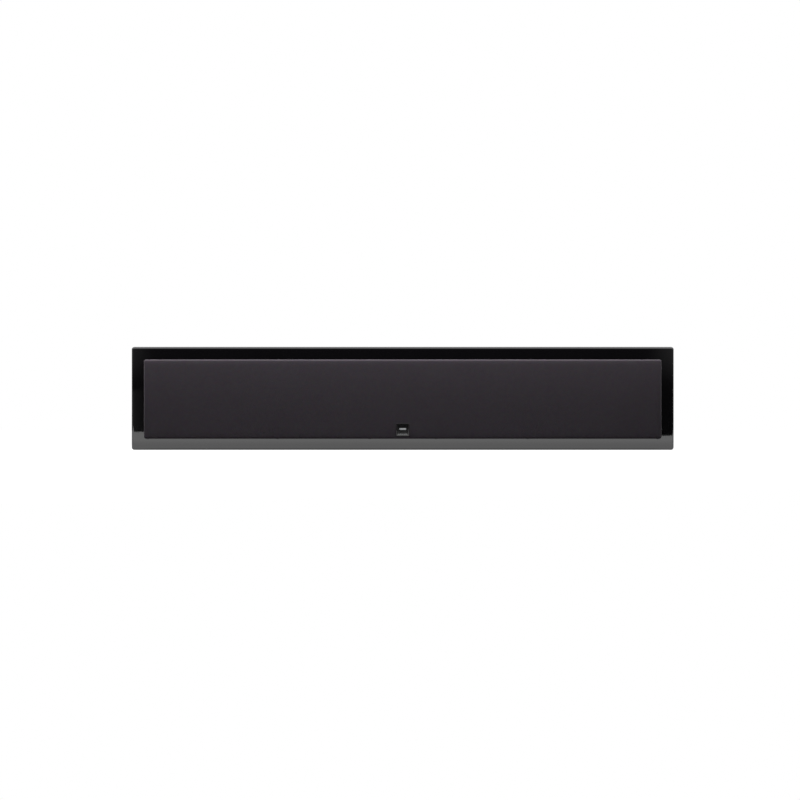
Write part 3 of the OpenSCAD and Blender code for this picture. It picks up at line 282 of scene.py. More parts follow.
def enamelled_copper():
    # Copper wire under clear enamel: paler and darker bands, drawn 1.6 mm apart, paler on the turns' crowns
    # and darker in the grooves between them: painted highlight and painted shade
    material, tree, shader, place = finish("enamelled_copper_wire", Metallic=1.0, Coat_Weight=0.6,
                                           Coat_Roughness=0.12)
    lines = put(tree, "TexWave", {"bands_direction": "Y"}, Vector=place, Scale=1 / (0.0016 * BANDS),
                Distortion=0.15).outputs["Fac"]
    tone = put(tree, "MixRGB", Fac=lines, Color1="#7a3a1c", Color2="#c67a48").outputs[0]
    patch = put(tree, "TexNoise", Vector=place, Scale=1 / 0.003, Detail=2.0).outputs["Fac"]
    dress(tree, shader, tone, lines, 0.6, 0.0002, rough=(patch, 0.2, 0.36))
    return material


def plated_iron():
    # Soft iron, turned and dull zinc plated, with tool lines left in it, drawn 1.2 mm apart so that they show
    material, tree, shader, place = finish("plated_soft_iron", Metallic=1.0)
    turning = put(tree, "TexWave", {"wave_type": "RINGS", "rings_direction": "Y"}, Vector=place,
                  Scale=1 / (0.0012 * BANDS), Distortion=1.5).outputs["Fac"]
    patch, tone = mottled(tree, place, 0.008, 4.0, "#74777b", "#9a9c9e")
    dress(tree, shader, tone, turning, 0.12, 0.00003, rough=(patch, 0.38, 0.55))
    return material


def sintered_ferrite():
    # Ferrite, pressed from powder and fired: charcoal ceramic with ground faces and small chips and specks
    material, tree, shader, place = finish("sintered_ferrite", Roughness=0.7)
    cloud, tone = mottled(tree, place, 0.01, 5.0, "#212124", "#343438")
    specks = put(tree, "TexVoronoi", Vector=place, Scale=1 / 0.0014).outputs["Distance"]
    tone = put(tree, "MixRGB", Fac=specks, Color1="#48484c", Color2=tone).outputs[0]
    dress(tree, shader, tone, cloud, 0.35, 0.0001)
    return material


def nickel_plate():
    # Neodymium magnet, nickel plated: a warm bright metal with tiny pits
    material, tree, shader, place = finish("nickel_plate", Metallic=1.0)
    pits, tone = mottled(tree, place, 0.0008, 3.0, "#b3b0a9", "#cfccc4")
    dress(tree, shader, tone, pits, 0.08, 0.00002, rough=(pits, 0.18, 0.32))
    return material


def resin_cotton():
    # Cotton stiffened with phenolic resin and hot pressed: amber brown, the weave still plain to see
    material, tree, shader, place = finish("resin_pressed_cotton", Roughness=0.75)
    turned_up = put(tree, "Mapping", Vector=place, Rotation=(math.pi / 2, 0, 0)).outputs[0]
    height, _ = weave(tree, turned_up, 0.0008)
    _, tone = mottled(tree, place, 0.011, 4.0, "#9d6a2a", "#cf9a4c")
    # Painted shade: the cloth is darker between the threads, where the weave's relief is low
    tone = put(tree, "MixRGB", Fac=height, Color1="#5e3c16", Color2=tone).outputs[0]
    dress(tree, shader, tone, height, 0.5, 0.00015)
    return material


def solder_mask():
    # Glass-epoxy board under green solder mask: copper fields of 31 by 9 mm show paler, with darker gaps
    material, tree, shader, place = finish("solder_masked_board", Coat_Weight=0.5, Coat_Roughness=0.2,
                                           Roughness=0.45)
    turned_up = put(tree, "Mapping", Vector=place, Rotation=(math.pi / 2, 0, 0)).outputs[0]
    gaps = put(tree, "TexBrick", {"offset": 0.35, "offset_frequency": 3}, Vector=turned_up, Scale=1.0,
               Mortar_Size=0.0005, Mortar_Smooth=0.1, Bias=0.0, Brick_Width=0.031, Row_Height=0.009)
    gaps = gaps.outputs["Fac"]
    tone = put(tree, "MixRGB", Fac=gaps, Color1="#2a7546", Color2="#164a2b").outputs[0]
    fleck = put(tree, "TexNoise", Vector=place, Scale=1 / 0.002, Detail=2.0).outputs["Color"]
    tone = put(tree, "MixRGB", {"blend_type": "SOFT_LIGHT"}, Fac=0.3, Color1=tone, Color2=fleck).outputs[0]
    step = put(tree, "Math", {"operation": "SUBTRACT"}, i0=1.0, i1=gaps).outputs[0]
    dress(tree, shader, tone, step, 0.5, 0.00005)
    return material


def polyester_film():
    # Film capacitor: a roll wrapped in yellow polyester tape with soft creases
    material, tree, shader, place = finish("wrapped_polyester_film", Coat_Weight=0.4, Coat_Roughness=0.15)
    wrap, tone = mottled(tree, place, 0.006, 3.0, "#b59a26", "#d8c24c")
    dress(tree, shader, tone, wrap, 0.2, 0.00008, rough=(wrap, 0.3, 0.5))
    return material


def cast_cement():
    # Wirewound resistor potted in cement: chalky off-white with pinholes
    material, tree, shader, place = finish("cast_cement", Roughness=0.9)
    _, tone = mottled(tree, place, 0.004, 6.0, "#c6c3b8", "#e4e1d8")
    holes = put(tree, "TexVoronoi", Vector=place, Scale=1 / 0.0018).outputs["Distance"]
    # Painted shade: the pinholes are painted darker, where the relief is low
    hole = put(tree, "MapRange", Value=holes, From_Min=0.08, From_Max=0.2).outputs[0]
    tone = put(tree, "MixRGB", Fac=hole, Color1="#8f8c82", Color2=tone).outputs[0]
    dress(tree, shader, tone, hole, 0.4, 0.00015)
    return material


def gold_plate():
    # Brass, turned and flashed with gold: a warm yellow metal. Its turning lines are drawn 0.8 mm apart,
    # coarser than real ones, so that they show
    material, tree, shader, place = finish("gold_plated_brass", Metallic=1.0)
    lines = put(tree, "TexWave", {"bands_direction": "Y"}, Vector=place, Scale=1 / (0.0008 * BANDS),
                Distortion=0.6).outputs["Fac"]
    patch, tone = mottled(tree, place, 0.004, 2.0, "#c8973c", "#e3bb62")
    dress(tree, shader, tone, lines, 0.1, 0.00002, rough=(patch, 0.16, 0.3))
    return material


def cap_moulding(name, deep, pale):
    # ABS cap of a binding post: glossy colour, handled smooth on the ridges
    material, tree, shader, place = finish(name, Coat_Weight=0.2, Coat_Roughness=0.2)
    wear, tone = mottled(tree, place, 0.003, 4.0, deep, pale)
    dress(tree, shader, tone, wear, 0.1, 0.00003, rough=(wear, 0.28, 0.5))
    return material


def wire_sheath(name, deep, pale):
    # Plasticised PVC, extruded over the strands: a dull shine and slight unevenness along the wire
    material, tree, shader, place = finish(name, Specular_IOR_Level=0.45)
    draw, tone = mottled(tree, place, 0.007, 3.0, deep, pale)
    dress(tree, shader, tone, draw, 0.15, 0.0001, rough=(draw, 0.35, 0.55))
    return material


FINISHES = {
    "gloss_lacquer": piano_lacquer(), "black_moulding": moulded_abs(), "gasket_foam": foam_rubber(),
    "zinc_steel": zinc_plate(), "wadding": polyester_wadding(), "grille_cloth": grille_fabric(),
    "badge_gloss": badge_acrylic(), "soft_rubber": butyl_rubber(), "cone_pulp": paper_pulp(),
    "dome_cloth": coated_silk(), "copper_wire": enamelled_copper(), "iron_plated": plated_iron(),
    "ferrite": sintered_ferrite(), "neodymium": nickel_plate(), "spider_cloth": resin_cotton(),
    "circuit_board": solder_mask(), "film_capacitor": polyester_film(), "cement": cast_cement(),
    "gold_brass": gold_plate(), "red_cap": cap_moulding("red_abs_cap", "#8e1414", "#b42020"),
    "black_cap": cap_moulding("black_abs_cap", "#131315", "#202023"),
    "wire_pvc": wire_sheath("red_pvc_sheath", "#96231c", "#b8382c"),
}
black_sheath = wire_sheath("black_pvc_sheath", "#141415", "#252527")

for part in frame["record"]["subparts"]:
    mesh = nodes[part["node"]].data
    mesh.materials.clear()
    mesh.materials.append(FINISHES[part["material_slot"]])


# Ways to work
def take(*objects):
    """Selects these objects alone, the first of them active."""
    bpy.ops.object.select_all(action="DESELECT")
    for piece in objects:
        piece.select_set(True)
    bpy.context.view_layer.objects.active = objects[0]


def select_all_in_edit():
    """Opens the active piece with all of its mesh selected."""
    bpy.ops.object.mode_set(mode="EDIT")
    bpy.ops.mesh.select_mode(type="VERT")
    bpy.ops.mesh.select_all(action="SELECT")


def pick(piece, kind, wanted):
    """In edit mode, selects the vertices, edges or faces whose middle and direction pass the test."""
    bpy.ops.mesh.select_mode(type=kind)
    bpy.ops.mesh.select_all(action="DESELECT")
    shape = bmesh.from_edit_mesh(piece.data)
    place = piece.matrix_world
    for item in {"VERT": shape.verts, "EDGE": shape.edges, "FACE": shape.faces}[kind]:
        if kind == "VERT":
            middle, way = item.co, item.normal
        elif kind == "EDGE":
            start, end = (vertex.co for vertex in item.verts)
            middle, way = (start + end) / 2, (end - start).normalized()
        else:
            middle, way = item.calc_center_median(), item.normal
        if wanted(place @ middle, way):
            item.select_set(True)
    shape.select_flush_mode()
    bmesh.update_edit_mesh(piece.data)


def runs_deep(middle, way):
    """Whether an edge runs, or a face looks, from front to back."""
    return abs(way.y) > 0.9


def runs_wide(middle, way):
    """Whether an edge runs, or a face looks, along the cabinet."""
    return abs(way.x) > 0.9


def round_off(radius, segments):
    """Rounds the selected edges."""
    bpy.ops.mesh.bevel(offset=radius * MM, segments=segments, offset_type="OFFSET")


def step_in(wall, rise, each=False):
    """Insets the selected faces by a wall and moves them out by a rise."""
    bpy.ops.mesh.inset(thickness=wall * MM, depth=rise * MM, use_individual=each)


def cut_across(x):
    """Cuts the whole mesh at x, without opening it."""
    bpy.ops.mesh.select_all(action="SELECT")
    bpy.ops.mesh.bisect(plane_co=(x * MM, 0, 0), plane_no=(1, 0, 0))


def add_block(width, height, depth, x, u, z):
    """A new block, open in edit mode, u being the distance of its middle from the wall."""
    bpy.ops.object.select_all(action="DESELECT")
    bpy.ops.mesh.primitive_cube_add(size=1, location=(x * MM, -u * MM, z * MM),
                                    scale=(width * MM, depth * MM, height * MM))
    piece = bpy.context.object
    bpy.ops.object.transform_apply()
    bpy.ops.object.mode_set(mode="EDIT")
    return piece


def modify(piece, kind, **settings):
    """Adds a modifier and applies it."""
    take(piece)
    modifier = piece.modifiers.new(kind.lower(), kind)
    for key, value in settings.items():
        setattr(modifier, key, value)
    bpy.ops.object.modifier_apply(modifier=modifier.name)


def close_up(piece, name, angle=35):
    """Merges doubles, turns faces outwards, applies the place, and smooths and names the piece."""
    take(piece)
    select_all_in_edit()
    bpy.ops.mesh.remove_doubles(threshold=0.000003)
    bpy.ops.mesh.normals_make_consistent(inside=False)
    bpy.ops.object.mode_set(mode="OBJECT")
    bpy.ops.object.transform_apply()
    bpy.ops.object.shade_smooth_by_angle(angle=math.radians(angle))
    piece.name = piece.data.name = name
    return piece


def twin(piece, name, x=0.0, u=0.0, z=0.0):
    """A copy with its own mesh, moved by x, u and z."""
    take(piece)
    bpy.ops.object.duplicate(linked=False)
    copy = bpy.context.object
    bpy.ops.transform.translate(value=(x * MM, -u * MM, z * MM))
    bpy.ops.object.transform_apply()
    copy.name = copy.data.name = name
    return copy


def joined(name, *parts):
    """Several closed pieces as one object."""
    take(*parts)
    bpy.ops.object.join()
    parts[0].name = parts[0].data.name = name
    return parts[0]


def fit(piece, body, slot, *replaced, finish_as=None):
    """Gives a piece the finish of its material slot, or the one given, attaches it to its body and hides the
    CAD nodes that it stands for.
    """
    piece.data.materials.clear()
    piece.data.materials.append(finish_as or FINISHES[slot])
    if body:
        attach(piece, body)
    if replaced:
        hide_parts(*replaced)
    return piece


def turned(name, section, x=0.0, z=0.0, loop=True, steps=96, angle=35):
    """Draws a section of (radius, u) points by extruding a vertex, and spins it about the axis at x and z."""
    bpy.ops.object.select_all(action="DESELECT")
    r, u = section[0]
    bpy.ops.mesh.primitive_plane_add(size=0.001, location=((x + r) * MM, -u * MM, z * MM))
    piece = bpy.context.object
    bpy.ops.object.transform_apply()
    select_all_in_edit()
    bpy.ops.mesh.merge(type="CENTER")
    for (r0, u0), (r1, u1) in zip(section, section[1:]):
        step = ((r1 - r0) * MM, (u0 - u1) * MM, 0)
        bpy.ops.mesh.extrude_region_move(TRANSFORM_OT_translate={"value": step})
    if loop:
        ends = [Vector(((x + r) * MM, -u * MM, z * MM)) for r, u in (section[0], section[-1])]
        pick(piece, "VERT", lambda middle, way: min((middle - end).length for end in ends) < 0.000002)
        bpy.ops.mesh.edge_face_add()
    bpy.ops.mesh.select_all(action="SELECT")
    bpy.ops.mesh.spin(steps=steps, angle=2 * math.pi, center=(x * MM, 0, z * MM), axis=(0, 1, 0))
    bpy.ops.object.mode_set(mode="OBJECT")
    return close_up(piece, name, angle)


def arc(r, u, radius, start, end, points):
    """Points of an arc about (r, u), from one angle to another in degrees, 0 pointing outwards."""
    turns = [math.radians(start + (end - start) * i / (points - 1)) for i in range(points)]
    return [(r + radius * math.cos(t), u + radius * math.sin(t)) for t in turns]


def seated(section):
    """A section given from the baffle's seat, moved to its distance from the wall."""
    return [(r, u + SEAT_U) for r, u in section]


# Grille
def grille_cloth():
    """The cloth, pulled over the frame's front and sides and folded behind it."""
    half_w, half_h, mid = GRILLE_W / 2 * MM, GRILLE_H / 2 * MM, GRILLE_MID * MM
    back, front = -GRILLE_BACK * MM, -GRILLE_FRONT * MM
    hem, dip, thick, corner_r, edge_r = 8, 0.25, 0.6, 3.6, 3.2
    # The frame's windows: how far out they reach, where they start and how high they are; half a cross bar
    reach, sill, tall, bar = 428, -57.7, 112.8, 4
    deep, middle_u = GRILLE_FRONT - GRILLE_BACK, (GRILLE_BACK + GRILLE_FRONT) / 2
    piece = add_block(GRILLE_W, GRILLE_H, deep, 0, middle_u, GRILLE_MID)
    pick(piece, "FACE", lambda middle, way: way.y > 0.9)
    bpy.ops.mesh.delete(type="ONLY_FACE")
    pick(piece, "EDGE", runs_deep)
    round_off(corner_r, 6)
    pick(piece, "EDGE", lambda middle, way: abs(middle.y - front) < 1e-6)
    round_off(edge_r, 6)
    pick(piece, "EDGE", lambda middle, way: abs(middle.y - back) < 1e-6)
    bpy.ops.mesh.extrude_region_move()
    bpy.ops.transform.resize(value=((GRILLE_W - 2 * hem) / GRILLE_W, 1, (GRILLE_H - 2 * hem) / GRILLE_H),
                             center_override=(0, back, mid))
    # Lines across the front, so that it can dip between the bars, closer together beside each bar
    stops = sorted({-reach, *CROSS_BARS, reach})
    spans = [(a + bar if a > -reach else a, b - bar if b < reach else b) for a, b in zip(stops, stops[1:])]
    cuts = {x for span in spans for x in span}
    cuts |= {a + (b - a) * share for a, b in spans for share in (0.06, 0.15, 0.3, 0.5, 0.7, 0.85, 0.94)}
    for x in sorted(cuts):
        cut_across(x)
    for share in (0.0, 0.07, 0.18, 0.33, 0.5, 0.67, 0.82, 0.93, 1.0):
        bpy.ops.mesh.select_all(action="SELECT")
        bpy.ops.mesh.bisect(plane_co=(0, 0, (sill + tall * share) * MM), plane_no=(0, 0, 1))
    bpy.ops.object.mode_set(mode="OBJECT")
    for vertex in piece.data.vertices:
        x, y, z = vertex.co
        if y > front + 1e-6 or not sill * MM < z < (sill + tall) * MM:
            continue
        for a, b in spans:
            if a * MM < x < b * MM:
                across, up = (x - a * MM) / (b * MM - a * MM), (z - sill * MM) / (tall * MM)
                vertex.co.y += dip * MM * (16 * across * (1 - across) * up * (1 - up)) ** 0.7
    close_up(piece, "grille_cloth_stretched", 60)

    # Flat pattern: each point keeps its distance along the cloth from the middle of the front
    depth = back - front
    flat = piece.data.uv_layers.new(name="cut") if not piece.data.uv_layers else piece.data.uv_layers[0]
    flat.name = "cut"
    for face in piece.data.polygons:
        c = face.center
        behind = face.normal.y > 0.7 and c.y > back - 1e-5
        by_side = half_w - abs(c.x) < half_h - abs(c.z - mid)
        for corner in face.loop_indices:
            x, y, z = piece.data.vertices[piece.data.loops[corner].vertex_index].co
            drop = y - front
            u, w = x, z - mid
            if behind and by_side:
                u = math.copysign(2 * half_w + depth - abs(x), x)
            elif behind:
                w = math.copysign(2 * half_h + depth - abs(w), w)
            else:
                u += face.normal.x * drop
                w += face.normal.z * drop
            flat.data[corner].uv = (u, w)
    modify(piece, "SOLIDIFY", thickness=thick * MM, offset=-1)
    fit(piece, "grille", "grille_cloth", "grille_cloth")
    return piece


grille_cloth()


def badge():
    """A bare gloss plate with a bevelled edge and a shallow field, and blank silver trim laid into it."""
    thick, trim_thick = 1.2, 0.12
    front = GRILLE_FRONT + thick
    plate = add_block(BADGE_W, BADGE_W, thick, 0, GRILLE_FRONT + thick / 2, BADGE_MID)
    pick(plate, "EDGE", runs_deep)
    round_off(1.0, 5)
    pick(plate, "EDGE", lambda middle, way: abs(middle.y + front * MM) < 1e-6)
    round_off(0.4, 3)
    pick(plate, "FACE", lambda middle, way: way.y < -0.99)
    step_in(0.4, 0)
    step_in(0.08, -0.1)
    bpy.ops.object.mode_set(mode="OBJECT")
    close_up(plate, "badge_plate", 30)
    section = [(r, u + GRILLE_FRONT) for r, u in ((0, -3.5), (1.2, -3.5), (1.5, -3.2), (1.5, 0.3), (0, 0.3))]
    pin = turned("badge_pin", section, z=BADGE_MID, loop=False, steps=32)
    fit(joined("badge_plate", plate, pin), "grille", "badge_gloss", "grille_badge")
    trims = []
    for width, height, rise in ((11.5, 3.0, 1.2), (15.0, 0.5, -7.6)):
        trim = add_block(width, height, trim_thick, 0, front - trim_thick / 2, BADGE_MID + rise)
        pick(trim, "EDGE", runs_deep)
        round_off(height * 0.35, 4)
        bpy.ops.object.mode_set(mode="OBJECT")
        trims.append(close_up(trim, "badge_trim", 30))
    fit(joined("badge_trim", *trims), "grille", "zinc_steel")


badge()


# Drive units
def bend(piece):
    """Bakes a piece's place into its mesh."""
    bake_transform(piece)


def surround(unit, x):
    """A half roll in two parts: the outer one keeps to the frame, and the inner one, next to the cone, is
    given no body.
    """
    middle, level, outside, inside = 43.5, 2.4, 4, 3.3
    rim, foot, wall, sole = 52.2, -0.1, middle - outside, -0.8
    outer = [(rim, 2.0), (rim, 2.7), *arc(middle, level, outside, 4.3, 90, 9),
             *arc(middle, level, inside, 90, 0, 9), (middle + inside, 2.0)]
    leg = [(wall, 1.1), (wall, foot), (37.5, foot), (37.5, sole), (middle - inside, sole),
           (middle - inside, 1.1)]
    inner = [*arc(middle, level, outside, 90, 180, 11), *leg, *arc(middle, level, inside, 180, 90, 11)]
    fixed = turned(unit + "_surround_outer", seated(outer), x)
    fit(fixed, "root", "soft_rubber", unit + "_surround")
    rolling = turned(unit + "_surround_inner", seated(inner), x)
    fit(rolling, None, "soft_rubber", unit + "_surround")
    bend(rolling)


def spider(unit, x):
    """A corrugated disc pressed from cloth, its collar glued to the voice coil and its rim to the basket."""
    waves, start, end, thick, leg = 6, 14.3, 25.6, 0.5, 1.0
    bore, edge, collar, rim = 12.7, 29.8, -22.4, -20.0
    radius, half = (end - start) / (2 * waves), thick / 2
    top = [(bore, collar + thick), (start - half, collar + thick)]
    bottom = [(bore, collar), (start + half, collar)]
    for i in range(waves):
        up = 1 if i % 2 == 0 else -1
        middle = start + radius * (2 * i + 1)
        level = collar + (rim - collar) * (i + 0.5) / waves + up * leg / 2
        top += arc(middle, level, radius + up * half, 180, 180 - 180 * up, 9)
        bottom += arc(middle, level, radius - up * half, 180, 180 - 180 * up, 9)
    top += [(end - half, rim + thick), (edge, rim + thick)]
    bottom += [(end + half, rim), (edge, rim)]
    piece = turned(unit + "_spider_pressed", seated(top + bottom[::-1]), x, steps=72, angle=60)
    fit(piece, None, "spider_cloth", unit + "_spider")
    bend(piece)


def cone(unit, x):
    """A paper cone with three ribs pressed into it."""
    neck, mouth, deep, shallow, thick = 12.7, 38.2, -16.8, -1.0, 0.8
    ribs, rib_width, rib_height, steps = (0.35, 0.58, 0.81), 0.05, 0.25, 30
    front = []
    for i in range(steps + 1):
        share = i / steps
        rib = max(0.0, *(1 - abs(share - place) / rib_width for place in ribs))
        front.append((neck + (mouth - neck) * share, deep + (shallow - deep) * share + rib_height * rib))
    back = [(r, u - thick) for r, u in reversed(front)]
    rim = [(mouth, -0.8), (40.5, -0.8), (40.5, -1.7), (mouth, -1.8)]
    piece = turned(unit + "_cone_pressed", seated(front + rim + back[1:]), x, steps=128, angle=50)
    fit(piece, unit + "_mover", "cone_pulp", unit + "_cone")


def tweeter_dome():
    """A silk dome with its own small half roll, the outer half of which stays on the faceplate."""
    centre, radius, thick, steps = -13.125, 18.125, 0.4, 16
    faces = []
    for size, reach in ((radius, 0.76052), (radius - thick, 0.78251)):
        faces.append([(size * math.sin(t), centre + size * math.cos(t)) for t in
                      (reach * i / steps for i in range(steps + 1))])
    dome, under = faces
    cap = turned("tweeter_dome_pressed", seated(dome + under[::-1]), loop=False)
    fit(cap, "tweeter_mover", "dome_cloth", "tweeter_diaphragm")
    middle, level, outside, inside, rim = 14.1, -0.4, 1.8, 1.4, 17.4
    inner = [*arc(middle, level, outside, 90, 180, 8), *arc(middle, level, inside, 180, 90, 8)]
    rolling = turned("tweeter_roll_inner", seated(inner))
    fit(rolling, None, "dome_cloth", "tweeter_diaphragm")
    bend(rolling)
    outer = [*arc(middle, level, outside, 90, 12.84, 8), (rim, 0), (rim, level),
             *arc(middle, level, inside, 0, 90, 8)]
    fit(turned("tweeter_roll_outer", seated(outer)), "root", "dome_cloth", "tweeter_diaphragm")


for kind, places in (("woofer_", WOOFERS), ("radiator_", RADIATORS)):
    for side, x in places.items():
        surround(kind + side, x)
for side, x in WOOFERS.items():
    spider("woofer_" + side, x)
    cone("woofer_" + side, x)
tweeter_dome()


# Inside
def gasket():
    """A strip of foam laid round the rear cover's edge, open at the cable channel."""
    width, height, wall, channel, middle_u = 915, 170, 3.5, 8.8, 4.5
    strip = add_block(width, height, 1, 0, middle_u, 0)
    for way_out in (-1, 1):
        pick(strip, "FACE", lambda middle, way: way.y * way_out > 0.9)
        step_in(wall, 0)
    pick(strip, "FACE", lambda middle, way: abs(way.y) > 0.9 and max(abs(middle.x), abs(middle.z)) < 1e-4)
    bpy.ops.mesh.delete(type="FACE")
    past_x, past_z = ((size / 2 - wall + 0.5) * MM for size in (width, height))
    pick(strip, "EDGE", lambda middle, way: abs(middle.z) < past_z and abs(middle.x) < past_x
         and abs(way.y) < 0.1)
    bpy.ops.mesh.bridge_edge_loops()
    pick(strip, "EDGE", runs_deep)
    round_off(2.6, 4)
    for x in (-channel, channel):
        cut_across(x)
    pick(strip, "FACE", lambda middle, way: abs(middle.x) < (channel - 0.1) * MM and middle.z < 0)
    bpy.ops.mesh.delete(type="FACE")
    for x in (-channel, channel):
        pick(strip, "EDGE", lambda middle, way: abs(middle.x - x * MM) < 1e-6 and middle.z < 0
             and abs(way.x) < 0.1)
        bpy.ops.mesh.edge_face_add()
    pick(strip, "EDGE", lambda middle, way: abs(abs(middle.y) - middle_u * MM) > 0.45 * MM
         and abs(way.y) < 0.1)
    round_off(0.25, 2)
    bpy.ops.object.mode_set(mode="OBJECT")
    fit(close_up(strip, "cover_gasket_strip", 50), "root", "gasket_foam", "cover_gasket")


def damping_pads():
    """Blocks of loose wadding, swollen between their corners and lumpy."""
    lumps = bpy.data.textures.new("wadding_lumps", "CLOUDS")
    lumps.noise_scale = 0.02
    x, u, swollen = -420, 38.4, 0.1
    pad = add_block(63, 121, 38, x, u, 0)
    bpy.ops.mesh.select_all(action="SELECT")
    bpy.ops.mesh.subdivide(number_cuts=5, smoothness=0.0)
    bpy.ops.object.mode_set(mode="OBJECT")
    centre, half = Vector((x, -u, 0)) * MM, Vector((34, 21, 65)) * MM
    for vertex in pad.data.vertices:
        place = vertex.co - centre
        across, deep, up = (place[i] / half[i] for i in range(3))
        off_x, off_y, off_z = (1 - share * share for share in (across, deep, up))
        swell = Vector((across * off_z * off_y, deep * off_z * off_x, up * off_x * off_y))
        vertex.co = centre + place + Vector(swell[i] * half[i] * swollen for i in range(3))
    modify(pad, "SUBSURF", levels=3, render_levels=3)
    modify(pad, "DISPLACE", texture=lumps, strength=3.2 * MM, mid_level=0.7, texture_coords="LOCAL")
    # It lies flat where the cabinet's walls press on it
    for vertex in pad.data.vertices:
        vertex.co = Vector(min(max(vertex.co[i], centre[i] - half[i]), centre[i] + half[i]) for i in range(3))
    close_up(pad, "damping_pad_left_wadding", 80)
    other = twin(pad, "damping_pad_right_wadding", x=-2 * x)
    for piece, side in ((pad, "left"), (other, "right")):
        fit(piece, "root", "wadding", "damping_pad_" + side)


# Radii of a lead, a pair's strand and a part's leg, and the length in which a pair turns once
LEAD_R, STRAND_R, LEG_R, TWIST = 1.1, 0.74, 0.4, 16
# Where each wire runs, from its post or driver to the board: two leads, then three pairs
ROUTES = (
    [(9.5, -37.8, -29), (9.5, -42.8, -27), (-2, -41.8, 2), (-44, -25, 24), (-80, -16, 26),
     (-192, -13.1, 14)],
    [(-9.5, -37.8, -29), (-9.5, -42.8, -27), (-24, -37.8, -10), (-54, -23, 6), (-80, -16, 12),
     (-192, -13.1, 6)],
    [(-124, -42, 40.6), (-124, -42, 46), (-136, -25, 46), (-170, -17, 30), (-192, -13.1, 22)],
    [(0, -62.8, 27.2), (0, -61, 40), (-18, -40, 46), (-60, -19, 46), (-130, -15, 50), (-192, -13.1, 30)],
    [(124, -42, 40.6), (124, -42, 48), (110, -27, 56), (40, -15, 58), (-60, -15, 60), (-140, -15, 58),
     (-192, -13.1, 37)],
)


def route_points(route, steps):
    """Points along the smooth curve through a route, steps to each stretch."""
    stops = [Vector(stop) for stop in (route[0], *route, route[-1])]
    points = []
    for a, b, c, d in zip(stops, stops[1:], stops[2:], stops[3:]):
        for i in range(steps):
            f = i / steps
            points.append((2 * b + (c - a) * f + (2 * a - 5 * b + 4 * c - d) * f * f
                           + (3 * b - a - 3 * c + d) * f ** 3) / 2)
    return points + [stops[-1]]


def wire(name, points, radius):
    """A round wire along points in millimetres, its ends closed."""
    curve = bpy.data.curves.new(name, "CURVE")
    curve.dimensions = "3D"
    curve.bevel_depth = radius * MM
    curve.bevel_resolution = 2
    curve.use_fill_caps = True
    spline = curve.splines.new("POLY")
    spline.points.add(len(points) - 1)
    for point, place in zip(spline.points, points):
        point.co = (*(place * MM), 1)
    piece = bpy.data.objects.new(name, curve)
    scene.collection.objects.link(piece)
    take(piece)
    bpy.ops.object.convert(target="MESH")
    return close_up(bpy.context.object, name, 60)


def wiring():
    """Single leads from the posts and twisted pairs from the drivers, soldered to the crossover board."""
    strands = {"red": [wire("lead_red", route_points(ROUTES[0], 10), LEAD_R)],
               "black": [wire("lead_black", route_points(ROUTES[1], 10), LEAD_R)]}
    for route in ROUTES[2:]:
        points = route_points(route, 40)
        gone = 0.0
        pair = {"red": [], "black": []}
        for i, point in enumerate(points):
            last, after = points[max(i - 1, 0)], points[min(i + 1, len(points) - 1)]
            # Two directions square to the pair's own, to wind the strands in
            ahead = (after - last).normalized()
            aside = ahead.cross(Vector((0.1, 0.2, 1))).normalized()
            over = ahead.cross(aside)
            gone += (point - last).length
            twist = 2 * math.pi * gone / TWIST
            for colour, turn in (("red", twist), ("black", twist + math.pi)):
                pair[colour].append(point + STRAND_R * (math.cos(turn) * aside + math.sin(turn) * over))
        for colour, way in pair.items():
            strands[colour].append(wire("pair_" + colour, way, STRAND_R))
    for colour, sheath in (("red", None), ("black", black_sheath)):
        piece = joined("wires_" + colour, *strands[colour])
        fit(piece, "root", "wire_pvc", "internal_wiring", finish_as=sheath)


gasket()
damping_pads()
wiring()


def thread(start, end, x):
    """A V ridge wound about a binding post's axis at 0.8 mm a turn, its two ends closed."""
    pitch, root, crest, foot, top = 0.8, 2.75, 3.2, 0.36, 0.06
    turns = int((end - start) / pitch)
    bpy.ops.object.select_all(action="DESELECT")
    bpy.ops.mesh.primitive_plane_add(size=MM, location=(0, 0, 0))
    ridge = bpy.context.object
    corners = ((root, -foot), (crest, -top), (root, foot), (crest, top))
    for vertex, (r, u) in zip(ridge.data.vertices, corners):
        vertex.co = (r * MM, -u * MM, 0)
    select_all_in_edit()
    bpy.ops.mesh.delete(type="ONLY_FACE")
    bpy.ops.object.mode_set(mode="OBJECT")
    modify(ridge, "SCREW", axis="Y", angle=2 * math.pi, screw_offset=-pitch * MM, iterations=turns, steps=24,
           render_steps=24, use_smooth_shade=False)
    take(ridge)
    select_all_in_edit()
    bpy.ops.mesh.fill_holes(sides=0)
    bpy.ops.object.mode_set(mode="OBJECT")
    ridge.location = (x * MM, -(start + pitch / 2) * MM, POST_Z * MM)
    return close_up(ridge, "thread", 30)


